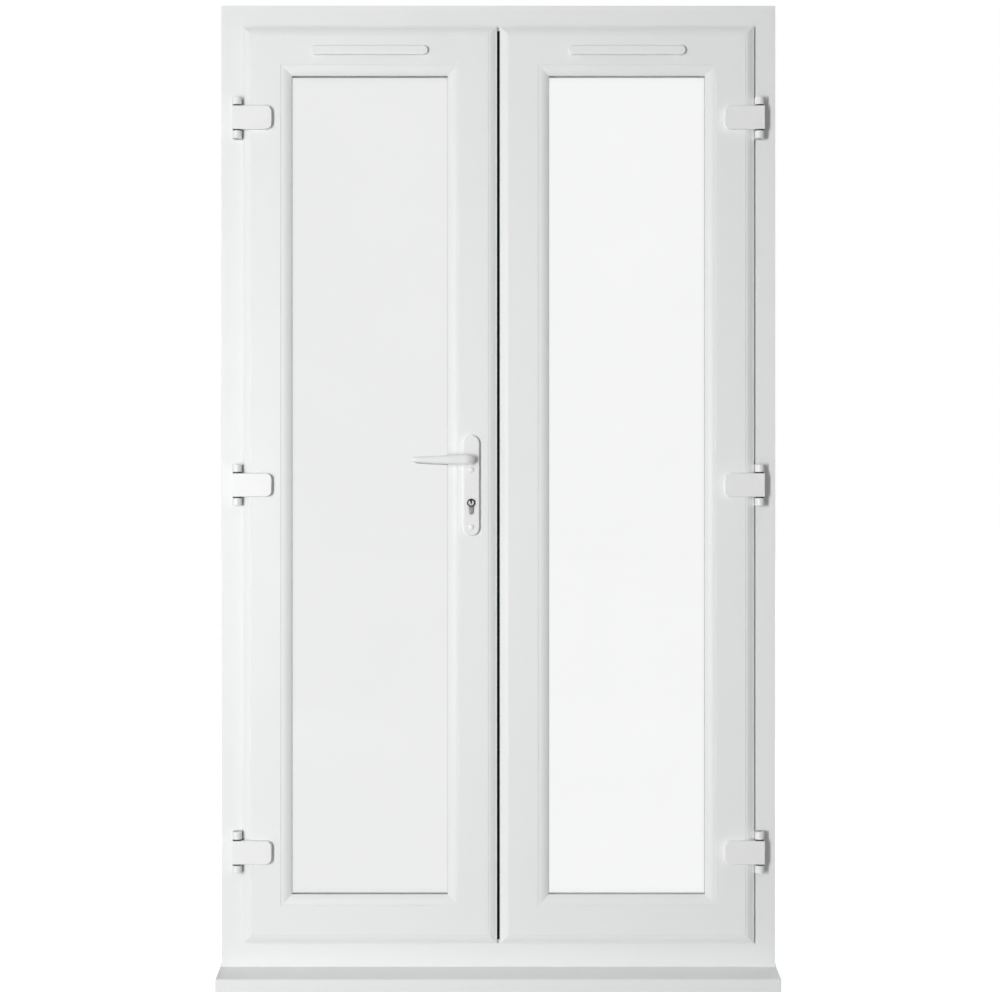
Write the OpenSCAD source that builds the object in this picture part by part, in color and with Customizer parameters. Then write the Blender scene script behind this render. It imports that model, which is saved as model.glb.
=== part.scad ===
// A pair of outward-opening french doors with their frame and sill.
// Origin: middle of the width, at the frame's outside face, on the underside of the sill.
// +X is right as seen from outside, +Y goes into the room, +Z is up.

/* [Overall] */
// Width of the frame
door_w = 1190; // [1000:10:1500]
// Height of the frame, above the sill
frame_h = 2060; // [1700:10:2500]
// Depth of the frame
frame_d = 70; // [66:1:90]

/* [Sill] */
// Height of the sill under the frame
sill_h = 40; // [35:1:60]
// How far the sill stands out of the frame's face
sill_out = 80; // [50:5:150]
// Step down in front of the frame
sill_step = 4.5; // [3:0.5:8]
// Height of the sill's front nose
sill_nose = 26; // [20:1:30]
// Thickness of each end cap
sill_cap = 2; // [1.5:0.5:4]

/* [Frame section] */
// From the frame's edge to the rebate floor
rebate_w = 55; // [50:1:70]
// Width of the inner upstand
upstand_w = 20; // [16:1:25]
// Thickness of the inner upstand
upstand_t = 18; // [15:1:20]
// Wall of the hollow sections
wall = 3; // [2.5:0.1:3.5]
// Wall of the steel inside them
steel_t = 1.5; // [1:0.1:2]

/* [Leaf section] */
// Lap of each leaf over the frame's face
lap = 8; // [6:1:12]
// Width of the leaf's flange
flange_w = 20; // [18:1:24]
// How far the leaf stands out of the frame's face
leaf_out = 16; // [14:1:20]
// From the leaf's edge to the edge of the visible glass
sight_w = 105.5; // [100:0.5:125]
// Width of the moulded outer edge
edge_mould = 19; // [15:0.5:19.5]
// Width of the moulded glazing edge
glaze_mould = 23.5; // [19:0.5:26]
// Gap between the two leaves
centre_gap = 6; // [5:0.5:8]
// Gap behind the flange and behind the leaf, for the seals
seal_gap = 3; // [2.5:0.5:4]

/* [Glass] */
// Thickness of the sealed unit
unit_t = 28; // [24:1:30]
// Thickness of each pane
pane_t = 4; // [4:1:6]
// Thickness of the glazing gaskets
gasket_t = 3; // [2:0.5:4]

/* [Hinges] */
// Radius of the knuckles
knuckle_r = 10.5; // [9:0.5:12]
// Radius of the pins
pin_r = 4; // [3:0.5:5]
// Height of the middle knuckle and its plate
plate_h = 50; // [40:1:70]
// Length of the plate, with the knuckle
plate_l = 85; // [70:1:100]
// Thickness of the plate, flush with the knuckles' front
plate_t = 14.5; // [12:0.5:16]
// Height of the end knuckles
end_knuckle_h = 16; // [12:1:24]
// Thickness of the washers
washer_t = 3; // [2:0.5:4]
// From the leaf's ends to the outer hinges
hinge_inset = 198; // [120:2:300]

/* [Handle] */
// Height of the lever's spindle above the base
spindle_z = 1124; // [900:1:1250]
// From the spindle down to the cylinder
cylinder_drop = 92; // [92:1:92]
// Length of the backplates
backplate_l = 215; // [205:1:240]
// Width of the backplates
backplate_w = 35; // [30:1:38]
// Thickness of the backplates
backplate_t = 10; // [8:1:12]
// Reach of the levers from their spindle
lever_l = 127; // [110:1:140]
// Radius of the levers at the spindle
lever_r = 10; // [9.5:0.5:12]
// Radius of the levers at the tip
lever_tip_r = 6; // [5:0.5:9]
// Thickness of the lever's arm
lever_t = 12; // [8:1:14]
// Clear space behind the lever's arm
finger_gap = 22; // [20:1:35]

/* [Lock] */
// From the lock's faceplate to the spindle
backset = 35; // [28:1:40]
// Depth of the lock's middle plane behind the frame's face
lock_y = 25; // [22:1:28]
// Stroke of the shootbolts
bolt_stroke = 20; // [16:1:24]
// Stroke of the latch
latch_stroke = 18; // [14:1:20]
// Length of the faceplate
faceplate_l = 1550; // [1000:10:1600]

/* [Vents] */
// Length of the vent covers
vent_l = 250; // [150:5:280]
// Height of the vent covers
vent_h = 20; // [16:1:24]
// Projection of the vent covers
vent_out = 10; // [8:1:14]
// From the leaf's top edge to the middle of the vent
vent_drop = 53; // [48:1:56]

/* [Hidden] */
$fn = 48;
// clearances: running fit, and loose fit
fit = 0.05;
loose = 0.3;
// cut-through allowance
eps = 1;

top_z = sill_h + frame_h;
upstand_y = frame_d - upstand_t;
leaf_back = upstand_y - 2;
leaf_edge = rebate_w - lap;
leaf_w = (door_w - 2 * leaf_edge - centre_gap) / 2;
leaf_h = frame_h - 2 * leaf_edge;
leaf_x = (centre_gap + leaf_w) / 2;
leaf_z = sill_h + frame_h / 2;
leaf_top = leaf_z + leaf_h / 2;
leaf_bottom = leaf_z - leaf_h / 2;
body_edge = centre_gap / 2 + flange_w;
body_top = leaf_top - flange_w;
body_bottom = leaf_bottom + flange_w;

// glazing rebate, measured across the leaf's section
glass_y = -7 + gasket_t;
bead_u = sight_w - 19.5;
glass_u = sight_w - 15;
gasket_u = sight_w - 10;
gasket_lip = 0.5;
inner_gasket_y = glass_y + unit_t;
bead_y = inner_gasket_y + gasket_t;

// hollow chambers of the leaf and of the frame
web = 7;
chamber_u = flange_w + web;
chamber_y = 4;
chamber_back = leaf_back - wall;
steel_stop = bead_u + 2;
frame_chamber_y = 17;

// hardware groove and lock
groove_d = 3.2;
groove_half = 8.2;
faceplate_t = 3;
faceplate_half = 8;
face_x = -body_edge;
spindle_x = face_x - backset;
cylinder_z = spindle_z - cylinder_drop;
screw_top_z = spindle_z - 21.5;
screw_bottom_z = screw_top_z - 122;
lock_half = 8.5;
lock_depth = 48;
lock_top = spindle_z + 121;
lock_bottom = spindle_z - 124;
rod_r = 5;
rod_x = -centre_gap / 2 - 36;
rod_fit = 0.2;
// how far each shootbolt reaches into the lock case
rod_seat = bolt_stroke + 2;
latch_z = spindle_z + 26;
latch_h = 18;
latch_half = 6;
latch_l = 38;
cam_r = 15.5;
cam_half = 5;
plug_r = 6.4;
cylinder_r = 8.5;
cylinder_tail = 24.5;
tail_r = 5;
cylinder_front = -leaf_out - backplate_t - 3;
cylinder_back = leaf_back + backplate_t + 3;
handle_z = spindle_z - 55;
neck_r = 9;
neck_l = backplate_t + finger_gap;
spindle_side = 8;
screw_r = 2.5;

// hinges
axis_x = door_w / 2 - leaf_edge + knuckle_r + 0.1;
axis_y = knuckle_r - leaf_out - plate_t;
foot_t = 4;
hinge_z = [leaf_bottom + hinge_inset, leaf_z, leaf_top - hinge_inset];
barrel_half = plate_h / 2 + washer_t + end_knuckle_h;
plate_corner = 10;

// floating mullion
nose_x = -11;
nose_y = 3;
t_half = 28;
t_end = rebate_w + upstand_w + 2;
mullion_cap = 3;
slave_bolt_x = 6;
slave_bolt_r = 4;
slave_bolt_l = 193;
thumb_z = body_top - slave_bolt_l + 10;

// keeps
keep_t = 2;
keep_r = 6;
keep_depth = bolt_stroke - lap;

// vents
vent_z = leaf_top - vent_drop;
slot_l = vent_l * 0.4;
slot_h = 12;
flap_r = 1.5;
flap_t = 3;
vent_base_t = 6;
flap_y = leaf_back + vent_base_t + loose + flap_r;
flap_z = vent_z - 8.5;
flap_l = vent_l - 10;
ear_t = 3.5;

// ---- helpers ----

// Points along a stretch of an ellipse.
function arc(cx, cy, rx, ry, from, to, steps) = [
    for (i = [0:steps])
        let (a = from + (to - from) * i / steps)
            [cx + rx * cos(a), cy + ry * sin(a)]
];

// A box between two corners.
module block(low, high) {
    translate(low) cube(high - low);
}

// A round bar along Y, between two depths.
module bar_y(x, z, r, from, to) {
    translate([x, to, z]) rotate([90, 0, 0]) cylinder(r = r, h = to - from);
}

// An outline in X and Z, made solid between two depths.
module slab(from, to) {
    translate([0, to, 0]) rotate([90, 0, 0]) linear_extrude(height = to - from) children();
}

// A rectangle of outline in X and Z with round ends along X.
module stadium(length, height) {
    square([length - height, height], center = true);
    for (s = [-1, 1]) translate([s * (length - height) / 2, 0]) circle(d = height);
}

// Puts a section, drawn as (distance in from the edge, depth), along one side of a
// w x h rectangle that is centred on the origin. The run has square ends.
module ring_run(w, h, side, length) {
    flat = side == "top" || side == "bottom";
    across = flat ? h : w;
    turn = side == "bottom" ? 0 : side == "top" ? 180 : side == "left" ? 90 : -90;
    rotate([0, turn, 0]) translate([0, 0, -across / 2])
        rotate([0, -90, 0]) linear_extrude(height = length, center = true) children();
}

// The same with mitred ends. A slack leaves a fine joint at each mitre.
module ring_bar(w, h, side, slack = 0) {
    flat = side == "top" || side == "bottom";
    length = flat ? w : h;
    across = flat ? h : w;
    turn = side == "bottom" ? 0 : side == "top" ? 180 : side == "left" ? 90 : -90;
    reach = 160;
    half = length / 2 - slack;
    intersection() {
        ring_run(w, h, side, length) children();
        rotate([0, turn, 0]) translate([0, 0, -across / 2]) slab(-200, 200)
            polygon([[-half, 0], [half, 0], [half - reach, reach], [reach - half, reach]]);
    }
}

// A closed ring between two insets of a w x h rectangle and two depths.
module ring(w, h, outer, inner, from, to) {
    slab(from, to) difference() {
        square([w - 2 * outer, h - 2 * outer], center = true);
        square([w - 2 * inner, h - 2 * inner], center = true);
    }
}

module in_frame() {
    translate([0, 0, leaf_z]) children();
}

module in_leaf(side) {
    translate([side * leaf_x, 0, leaf_z]) children();
}

// ---- sections ----

// Frame: an L with three chambers.
module frame_section() {
    difference() {
        polygon([
            [0, 0], [rebate_w, 0], [rebate_w, upstand_y], [rebate_w + upstand_w, upstand_y],
            [rebate_w + upstand_w, frame_d], [0, frame_d]
        ]);
        translate([wall, wall]) square([rebate_w - 2 * wall, frame_chamber_y - 2 * wall]);
        translate([wall, frame_chamber_y])
            square([rebate_w - 2 * wall, upstand_y - frame_chamber_y]);
        translate([wall, upstand_y + wall])
            square([rebate_w + upstand_w - 2 * wall, upstand_t - 2 * wall]);
    }
}

module frame_steel_section() {
    steel_tube(wall + loose, frame_chamber_y + loose,
        rebate_w - wall - loose, upstand_y - loose);
}

// Leaf: a Z with a moulded flange, a moulded glazing lip and a hardware groove.
module leaf_section() {
    flat_end = sight_w - glaze_mould;
    difference() {
        polygon(concat(
            [[0, -seal_gap], [0, -9]],
            arc(edge_mould - 1.5, -9.3, edge_mould - 4, leaf_out - 10.8, 180, 270, 8),
            [[edge_mould - 0.8, 2.2 - leaf_out], [edge_mould, -leaf_out]],
            [[flat_end, -leaf_out], [flat_end + 0.8, 2.4 - leaf_out]],
            arc(flat_end + 1.5, -9.2, glaze_mould - 5, leaf_out - 11, 270, 360, 8),
            [[sight_w, -8.7], [sight_w, -7], [bead_u, -7], [bead_u, leaf_back]],
            [[flange_w, leaf_back], [flange_w, lock_y + groove_half]],
            [[flange_w + groove_d, lock_y + groove_half]],
            [[flange_w + groove_d, lock_y - groove_half], [flange_w, lock_y - groove_half]],
            [[flange_w, -seal_gap]]
        ));
        translate([flange_w + wall, wall - leaf_out])
            square([flat_end - flange_w - 2 * wall, leaf_out - 2 * wall + chamber_y]);
        translate([chamber_u, chamber_y])
            square([bead_u - wall - chamber_u, chamber_back - chamber_y]);
    }
}

module leaf_steel_section() {
    steel_tube(chamber_u + loose, chamber_y + loose,
        bead_u - wall - loose, chamber_back - loose);
}

module steel_tube(x0, y0, x1, y1) {
    difference() {
        translate([x0, y0]) square([x1 - x0, y1 - y0]);
        translate([x0 + steel_t, y0 + steel_t])
            square([x1 - x0 - 2 * steel_t, y1 - y0 - 2 * steel_t]);
    }
}

// Glazing bead, clipped in from the room side.
module bead_section() {
    polygon(concat(
        [[bead_u, bead_y], [sight_w, bead_y]],
        arc(bead_u + 6, bead_y + 6, sight_w - bead_u - 6, leaf_back - bead_y - 6, 0, 90, 6),
        [[bead_u, leaf_back]]
    ));
}

// Euro cylinder outline: a round head over a narrower tail.
module euro_outline(grow = 0) {
    translate([spindle_x, cylinder_z]) {
        circle(r = cylinder_r + grow);
        translate([-tail_r - grow, tail_r - cylinder_tail])
            square([2 * (tail_r + grow), cylinder_tail - tail_r]);
        translate([0, tail_r - cylinder_tail]) circle(r = tail_r + grow);
    }
}

// ---- cuts that line up through several pieces ----

// Holes for the lever spindle, the cylinder, the screws and the lock case.
module handle_cuts() {
    bar_y(spindle_x, spindle_z, neck_r, -leaf_out - eps, leaf_back + eps);
    slab(-leaf_out - eps, leaf_back + eps) euro_outline(loose);
    for (z = [screw_top_z, screw_bottom_z])
        bar_y(spindle_x, z, screw_r + loose, -leaf_out - eps, leaf_back + eps);
    block([face_x - lock_depth - loose, lock_y - lock_half - loose, lock_bottom - loose],
        [face_x - 1, lock_y + lock_half + loose, lock_top + loose]);
}

// Holes in the head and the threshold for the shootbolts of both leaves.
module keep_holes(r) {
    for (x = [rod_x, slave_bolt_x]) {
        translate([x, lock_y, body_top + lap - eps]) cylinder(r = r, h = keep_depth + 8);
        translate([x, lock_y, body_bottom - keep_depth - 8 - lap + eps])
            cylinder(r = r, h = keep_depth + 8);
    }
}

// Holes in the rails' outer walls for the master leaf's shootbolts.
module rod_holes() {
    translate([rod_x, lock_y, body_bottom - eps])
        cylinder(r = rod_r + rod_fit, h = body_top - body_bottom + 2 * eps);
}

// Air slots of the vents.
module vent_slots(x, from, to) {
    for (s = [-1, 1])
        block([x + s * vent_l * 0.23 - slot_l / 2, from, vent_z - slot_h / 2],
            [x + s * vent_l * 0.23 + slot_l / 2, to, vent_z + slot_h / 2]);
}

// ---- sill ----

module sill_outline() {
    polygon([
        [frame_d, 0], [frame_d, sill_h], [0, sill_h], [0, sill_h - sill_step],
        [2 - sill_out, sill_nose + 1], [-sill_out, sill_nose - 1.5], [-sill_out, 0]
    ]);
}

module sill() {
    color("whitesmoke") translate([-door_w / 2, 0, 0])
        rotate([90, 0, 90]) linear_extrude(height = door_w) difference() {
            sill_outline();
            polygon([
                [wall - sill_out, wall], [wall - sill_out, sill_nose - 4],
                [-sill_out / 2, sill_nose - 0.5], [-sill_out / 2, wall]
            ]);
            polygon([
                [wall - sill_out / 2, wall], [wall - sill_out / 2, sill_nose],
                [-wall, sill_h - sill_step - wall - 1.5], [-wall, wall]
            ]);
            translate([wall / 2, wall]) square([frame_d / 2 - wall, sill_h - 2 * wall]);
            translate([frame_d / 2 + wall / 2, wall])
                square([frame_d / 2 - 1.5 * wall, sill_h - 2 * wall]);
        }
}

module sill_end_caps() {
    color("whitesmoke") for (x = [-door_w / 2 - sill_cap, door_w / 2])
        translate([x, 0, 0]) rotate([90, 0, 90]) linear_extrude(height = sill_cap)
            sill_outline();
}

// ---- frame ----

module frame_length(side) {
    color("white") difference() {
        in_frame() ring_bar(door_w, frame_h, side) frame_section();
        keep_holes(keep_r);
    }
}

module frame_reinforcement() {
    short = 2 * (rebate_w + upstand_w + 5);
    color("silver") difference() {
        in_frame() {
            for (side = ["top", "bottom"])
                ring_run(door_w, frame_h, side, door_w - short) frame_steel_section();
            for (side = ["left", "right"])
                ring_run(door_w, frame_h, side, frame_h - short) frame_steel_section();
        }
        keep_holes(keep_r);
    }
}

// Seal strip on the upstand, which the leaves' backs close against.
module frame_weatherseal() {
    color("dimgray") in_frame() ring(door_w, frame_h,
        rebate_w + upstand_w - 6.5, rebate_w + upstand_w - 1.5, leaf_back + loose, upstand_y);
}

module shootbolt_keeps() {
    color("silver") difference() {
        for (z = [top_z - rebate_w - keep_t, sill_h + rebate_w])
            block([rod_x - 14, lock_y - 10, z], [slave_bolt_x + 14, lock_y + 10, z + keep_t]);
        keep_holes(keep_r);
    }
}

// ---- hinges ----

module knuckle(side, z, h, bore = pin_r + fit) {
    translate([side * axis_x, axis_y, z]) difference() {
        cylinder(r = knuckle_r, h = h);
        translate([0, 0, -eps]) cylinder(r = bore, h = h + 2 * eps);
    }
}

// End knuckles on a foot that is fixed to the frame's face.
module hinge_frame_leaves(side) {
    inner = side * (axis_x - knuckle_r + 1.2);
    outer = side * (axis_x + knuckle_r);
    foot_x = [min(inner, outer), max(inner, outer)];
    color("white") for (z = hinge_z) {
        block([foot_x[0], -foot_t, z - barrel_half], [foot_x[1], 0, z + barrel_half]);
        for (at = [z - barrel_half, z + barrel_half - end_knuckle_h]) {
            knuckle(side, at, end_knuckle_h);
            difference() {
                block([foot_x[0], axis_y, at], [foot_x[1], -foot_t, at + end_knuckle_h]);
                translate([side * axis_x, axis_y, at - eps])
                    cylinder(r = knuckle_r - 2, h = end_knuckle_h + 2 * eps);
            }
        }
    }
}

// Middle knuckle in one piece with the flat flag plate on the leaf's face.
module hinge_sash_leaves(side) {
    reach = plate_l - knuckle_r;
    color("white") for (z = hinge_z)
        translate([side * axis_x, 0, z]) difference() {
            union() {
                translate([0, axis_y, -plate_h / 2]) cylinder(r = knuckle_r, h = plate_h);
                slab(-leaf_out - plate_t, -leaf_out) mirror([side > 0 ? 1 : 0, 0]) {
                    translate([-knuckle_r, -plate_h / 2])
                        square([plate_l - plate_corner, plate_h]);
                    translate([0, plate_corner - plate_h / 2])
                        square([reach, plate_h - 2 * plate_corner]);
                    for (s = [-1, 1])
                        translate([reach - plate_corner, s * (plate_h / 2 - plate_corner)])
                            circle(r = plate_corner);
                }
            }
            translate([0, axis_y, -plate_h / 2 - eps])
                cylinder(r = pin_r + fit, h = plate_h + 2 * eps);
        }
}

module hinge_pins() {
    color("silver") for (side = [-1, 1], z = hinge_z)
        translate([side * axis_x, axis_y, z - barrel_half])
            cylinder(r = pin_r, h = 2 * barrel_half);
}

module hinge_washers() {
    color("dimgray") for (side = [-1, 1], z = hinge_z) {
        knuckle_gap = plate_h / 2;
        for (at = [z - knuckle_gap - washer_t, z + knuckle_gap])
            translate([side * axis_x, axis_y, at]) difference() {
                cylinder(r = knuckle_r - 0.5, h = washer_t);
                translate([0, 0, -eps]) cylinder(r = pin_r + fit, h = washer_t + 2 * eps);
            }
    }
}

// ---- leaves ----

module leaf_length(side, bar) {
    color("white") difference() {
        in_leaf(side) ring_bar(leaf_w, leaf_h, bar) leaf_section();
        if (side < 0) rod_holes();
        if (side < 0 && bar == "right") handle_cuts();
        if (bar == "top") vent_slots(side * leaf_x, -leaf_out - eps, leaf_back + eps);
    }
}

module leaf_reinforcement(side) {
    color("silver") difference() {
        in_leaf(side) {
            for (bar = ["top", "bottom"])
                ring_run(leaf_w, leaf_h, bar, leaf_w - 2 * steel_stop) leaf_steel_section();
            for (bar = ["left", "right"])
                ring_run(leaf_w, leaf_h, bar, leaf_h - 2 * steel_stop) leaf_steel_section();
        }
        if (side < 0) handle_cuts();
        vent_slots(side * leaf_x, -eps, leaf_back);
    }
}

module glass_panes(side) {
    color("lightcyan", 0.4) in_leaf(side)
        for (y = [glass_y, glass_y + unit_t - pane_t])
            slab(y, y + pane_t) square([leaf_w - 2 * glass_u, leaf_h - 2 * glass_u], center = true);
}

module spacer(side) {
    color("silver") in_leaf(side) ring(leaf_w, leaf_h, glass_u + 2, glass_u + 8.5,
        glass_y + pane_t, glass_y + unit_t - pane_t);
}

module glazing_gaskets(side) {
    color("black") in_leaf(side) for (y = [glass_y - gasket_t, inner_gasket_y])
        ring(leaf_w, leaf_h, gasket_u, sight_w + gasket_lip, y, y + gasket_t);
}

module glazing_beads(side) {
    color("white") in_leaf(side) for (bar = ["top", "bottom", "left", "right"])
        ring_bar(leaf_w, leaf_h, bar, 0.15) bead_section();
}

// Seal behind the flange on three sides. The mullion's gasket takes the fourth.
module leaf_weatherseal(side) {
    meeting = -side * leaf_w / 2;
    color("dimgray") in_leaf(side) difference() {
        ring(leaf_w, leaf_h, 3, 7, -seal_gap, -loose);
        block([meeting - flange_w, -10, -leaf_h], [meeting + flange_w, 10, leaf_h]);
    }
}

// ---- vents ----

// Hood over the air slots. It opens downwards.
module vent_cover(side) {
    color("white") translate([side * leaf_x, 0, vent_z]) difference() {
        slab(-leaf_out - vent_out, -leaf_out) stadium(vent_l, vent_h);
        slab(2 - leaf_out - vent_out, eps - leaf_out) stadium(vent_l - 6, vent_h - 6);
        block([-vent_l * 0.4, -leaf_out - 4, -vent_h], [vent_l * 0.4, eps - leaf_out, 0]);
    }
}

module vent_base(side) {
    color("white") difference() {
        translate([side * leaf_x, 0, vent_z]) union() {
            block([-vent_l / 2, leaf_back, -12], [vent_l / 2, leaf_back + vent_base_t, 13]);
            for (s = [-1, 1])
                translate([s * (vent_l - ear_t) / 2, 0, 0])
                    block([-ear_t / 2, leaf_back, -12], [ear_t / 2, flap_y + 4, 0]);
        }
        vent_slots(side * leaf_x, leaf_back - eps, leaf_back + vent_base_t + eps);
        translate([side * leaf_x, flap_y, flap_z]) rotate([0, 90, 0])
            cylinder(r = flap_r + fit, h = vent_l + 2 * eps, center = true);
    }
}

module vent_flap(side) {
    color("white") translate([side * leaf_x, flap_y, flap_z]) {
        rotate([0, 90, 0]) cylinder(r = flap_r, h = vent_l - 1, center = true);
        block([-flap_l / 2 + ear_t, -flap_r, 0], [flap_l / 2 - ear_t, flap_t - flap_r, 21]);
        block([-8, flap_t - flap_r - 0.5, 17], [8, flap_t - flap_r + 4, 21]);
    }
}

// ---- floating mullion and the slave leaf's bolts ----

module nose_outline() {
    translate([nose_x, nose_y]) square([body_edge - nose_x, leaf_back - nose_y]);
}

module floating_mullion() {
    nose_from = body_bottom + mullion_cap;
    nose_to = body_top - mullion_cap;
    t_from = sill_h + t_end;
    t_to = top_z - t_end;
    color("white") difference() {
        union() {
            translate([0, 0, nose_from]) linear_extrude(height = nose_to - nose_from)
                nose_outline();
            block([nose_x, leaf_back - eps, t_from], [body_edge, upstand_y + eps, t_to]);
            block([-t_half, upstand_y, t_from], [t_half, frame_d, t_to]);
        }
        block([nose_x + wall, nose_y + wall, nose_from - eps],
            [body_edge - wall, leaf_back - wall, nose_to + eps]);
        block([wall - t_half, upstand_y + wall, t_from - eps],
            [t_half - wall, frame_d - wall, t_to + eps]);
        latch_pocket(eps, wall + eps);
        block([nose_x - eps, lock_y - 20, latch_z - 30], [nose_x + keep_t, lock_y + 15, latch_z + 30]);
        for (z = [thumb_z, leaf_bottom + leaf_top - thumb_z])
            thumb_slot(z);
    }
}

// Opening that the latch enters.
module latch_pocket(before, after) {
    block([nose_x - before, lock_y - latch_half - 2, latch_z - latch_h / 2 - 3],
        [nose_x + after, lock_y + latch_half + 2, latch_z + latch_h / 2 + 3]);
}

// Slot in the nose for a thumb piece and its stroke.
module thumb_slot(z) {
    up = z > leaf_z;
    from = up ? z - 7 : z - 7 - bolt_stroke;
    block([nose_x - eps, lock_y - 5, from], [nose_x + wall + eps, lock_y + 5, from + 14 + bolt_stroke]);
}

module mullion_gasket() {
    lip_y = loose - seal_gap + 0.1;
    color("black") {
        translate([0, 0, body_bottom + mullion_cap])
            linear_extrude(height = body_top - body_bottom - 2 * mullion_cap) {
                translate([-10, 1]) square([20, nose_y - 1]);
                for (s = [-1, 1])
                    translate([s * 7 - 2, lip_y]) square([4, 1 - lip_y]);
            }
        block([-t_half + 1, leaf_back + loose, sill_h + t_end],
            [-body_edge - 0.5, upstand_y, top_z - t_end]);
    }
}

// Rubber blocks that close the nose's ends and seal against the frame's face.
module mullion_end_caps() {
    pad_y = loose - seal_gap + 0.1;
    color("black") for (up = [0, 1]) translate([0, 0, leaf_z]) mirror([0, 0, up]) {
        top = body_top - leaf_z;
        difference() {
            translate([0, 0, top - mullion_cap]) linear_extrude(height = mullion_cap)
                nose_outline();
            translate([slave_bolt_x, lock_y, 0]) cylinder(r = slave_bolt_r + fit, h = top + eps);
        }
        block([-9, pad_y, top - mullion_cap], [9, nose_y, top]);
        block([-9, pad_y, top], [9, -loose, top + flange_w - 8]);
    }
}

module latch_keep() {
    color("silver") difference() {
        block([nose_x, lock_y - 19.8, latch_z - 29.8], [nose_x + keep_t, lock_y + 14.8, latch_z + 29.8]);
        latch_pocket(eps, keep_t + eps);
    }
}

// Finger bolt in the nose, with its thumb piece.
module slave_bolt(up) {
    color("silver") translate([0, 0, leaf_z]) mirror([0, 0, up ? 0 : 1]) {
        translate([slave_bolt_x, lock_y, body_top - leaf_z - slave_bolt_l])
            cylinder(r = slave_bolt_r, h = slave_bolt_l);
        block([nose_x + 0.5, lock_y - 4, thumb_z - leaf_z - 6],
            [slave_bolt_x, lock_y + 4, thumb_z - leaf_z + 6]);
    }
}

// ---- handle ----

module backplate(from, to) {
    slab(from, to) difference() {
        translate([spindle_x, handle_z]) rotate(90) stadium(backplate_l, backplate_w);
        translate([spindle_x, spindle_z]) circle(r = neck_r + fit);
        euro_outline(loose);
        for (z = [screw_top_z, screw_bottom_z])
            translate([spindle_x, z]) circle(r = screw_r + fit);
    }
}

// Arm outline: a round boss that tapers to a round tip.
module lever_outline() {
    reach = lever_l - lever_tip_r;
    lean = asin((lever_r - lever_tip_r) / reach);
    translate([spindle_x, spindle_z]) polygon(concat(
        arc(0, 0, lever_r, lever_r, -90 - lean, 90 + lean, 20),
        arc(-reach, 0, lever_tip_r, lever_tip_r, 90 + lean, 270 - lean, 12)
    ));
}

// Lever from the leaf's face outwards. dir is -1 outside and 1 inside.
module lever(face, dir) {
    arm_at = face + dir * (neck_l + 0.5);
    arm_end = arm_at + dir * lever_t;
    neck_at = face + dir;
    inner_end = face + dir * (neck_l - 6);
    hole = spindle_side + 2 * fit;
    color("silver") difference() {
        union() {
            bar_y(spindle_x, spindle_z, neck_r, min(neck_at, arm_at), max(neck_at, arm_at));
            slab(min(arm_at, arm_end), max(arm_at, arm_end)) lever_outline();
        }
        translate([spindle_x - hole / 2, min(face, inner_end), spindle_z - hole / 2])
            cube([hole, abs(inner_end - face), hole]);
    }
}

module lever_spindle() {
    reach = neck_l - 7;
    color("silver") block(
        [spindle_x - spindle_side / 2, -leaf_out - reach, spindle_z - spindle_side / 2],
        [spindle_x + spindle_side / 2, leaf_back + reach, spindle_z + spindle_side / 2]);
}

// Bolts through both backplates, with domed heads outside.
module handle_bolts() {
    face = -leaf_out - backplate_t;
    color("silver") for (z = [screw_top_z, screw_bottom_z])
        translate([spindle_x, face, z]) rotate([90, 0, 0]) {
            rotate_extrude() polygon(concat(
                [[0, 0], [screw_r + 3.5, 0], [screw_r + 3.5, 1]],
                arc(0, 1, screw_r + 3.5, 2.5, 0, 90, 6)
            ));
            translate([0, 0, face - leaf_back - backplate_t + 1])
                cylinder(r = screw_r, h = leaf_back + backplate_t - face);
        }
}

// ---- cylinder and lock ----

module cylinder_body() {
    color("silver") difference() {
        slab(cylinder_front, cylinder_back) difference() {
            euro_outline();
            translate([spindle_x, cylinder_z]) circle(r = plug_r + fit);
        }
        bar_y(spindle_x, cylinder_z, cam_r + 0.5, lock_y - cam_half - 0.2, lock_y + cam_half + 0.2);
    }
}

// Plug with its keyways and the cam that drives the lock.
module cylinder_plug() {
    color("silver") difference() {
        union() {
            bar_y(spindle_x, cylinder_z, plug_r, cylinder_front - 0.5, cylinder_back + 0.5);
            bar_y(spindle_x, cylinder_z, cylinder_r, lock_y - cam_half, lock_y + cam_half);
            block([spindle_x - 4, lock_y - cam_half, cylinder_z - cam_r + 0.6],
                [spindle_x + 4, lock_y + cam_half, cylinder_z]);
        }
        for (y = [cylinder_front - eps, cylinder_back - 24])
            block([spindle_x - 1, y, cylinder_z - 4], [spindle_x + 1, y + 25 + eps, cylinder_z + 4.5]);
    }
}

module lock_case() {
    y0 = lock_y - lock_half;
    y1 = lock_y + lock_half;
    color("silver") difference() {
        block([face_x - lock_depth, y0, lock_bottom], [face_x - faceplate_t, y1, lock_top]);
        bar_y(spindle_x, spindle_z, spindle_side, y0 - eps, y1 + eps);
        slab(y0 - eps, y1 + eps) euro_outline(loose);
        bar_y(spindle_x, cylinder_z, cam_r + 1, lock_y - cam_half - 0.7, lock_y + cam_half + 0.7);
        bar_y(spindle_x, screw_top_z, screw_r + loose, y0 - eps, y1 + eps);
        block([face_x - latch_l - 5, lock_y - latch_half - loose, latch_z - latch_h / 2 - loose],
            [face_x, lock_y + latch_half + loose, latch_z + latch_h / 2 + loose]);
        for (z = [lock_bottom - eps, lock_top - rod_seat - 2])
            translate([rod_x, lock_y, z]) cylinder(r = rod_r + rod_fit, h = rod_seat + 2 + eps);
    }
}

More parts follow.
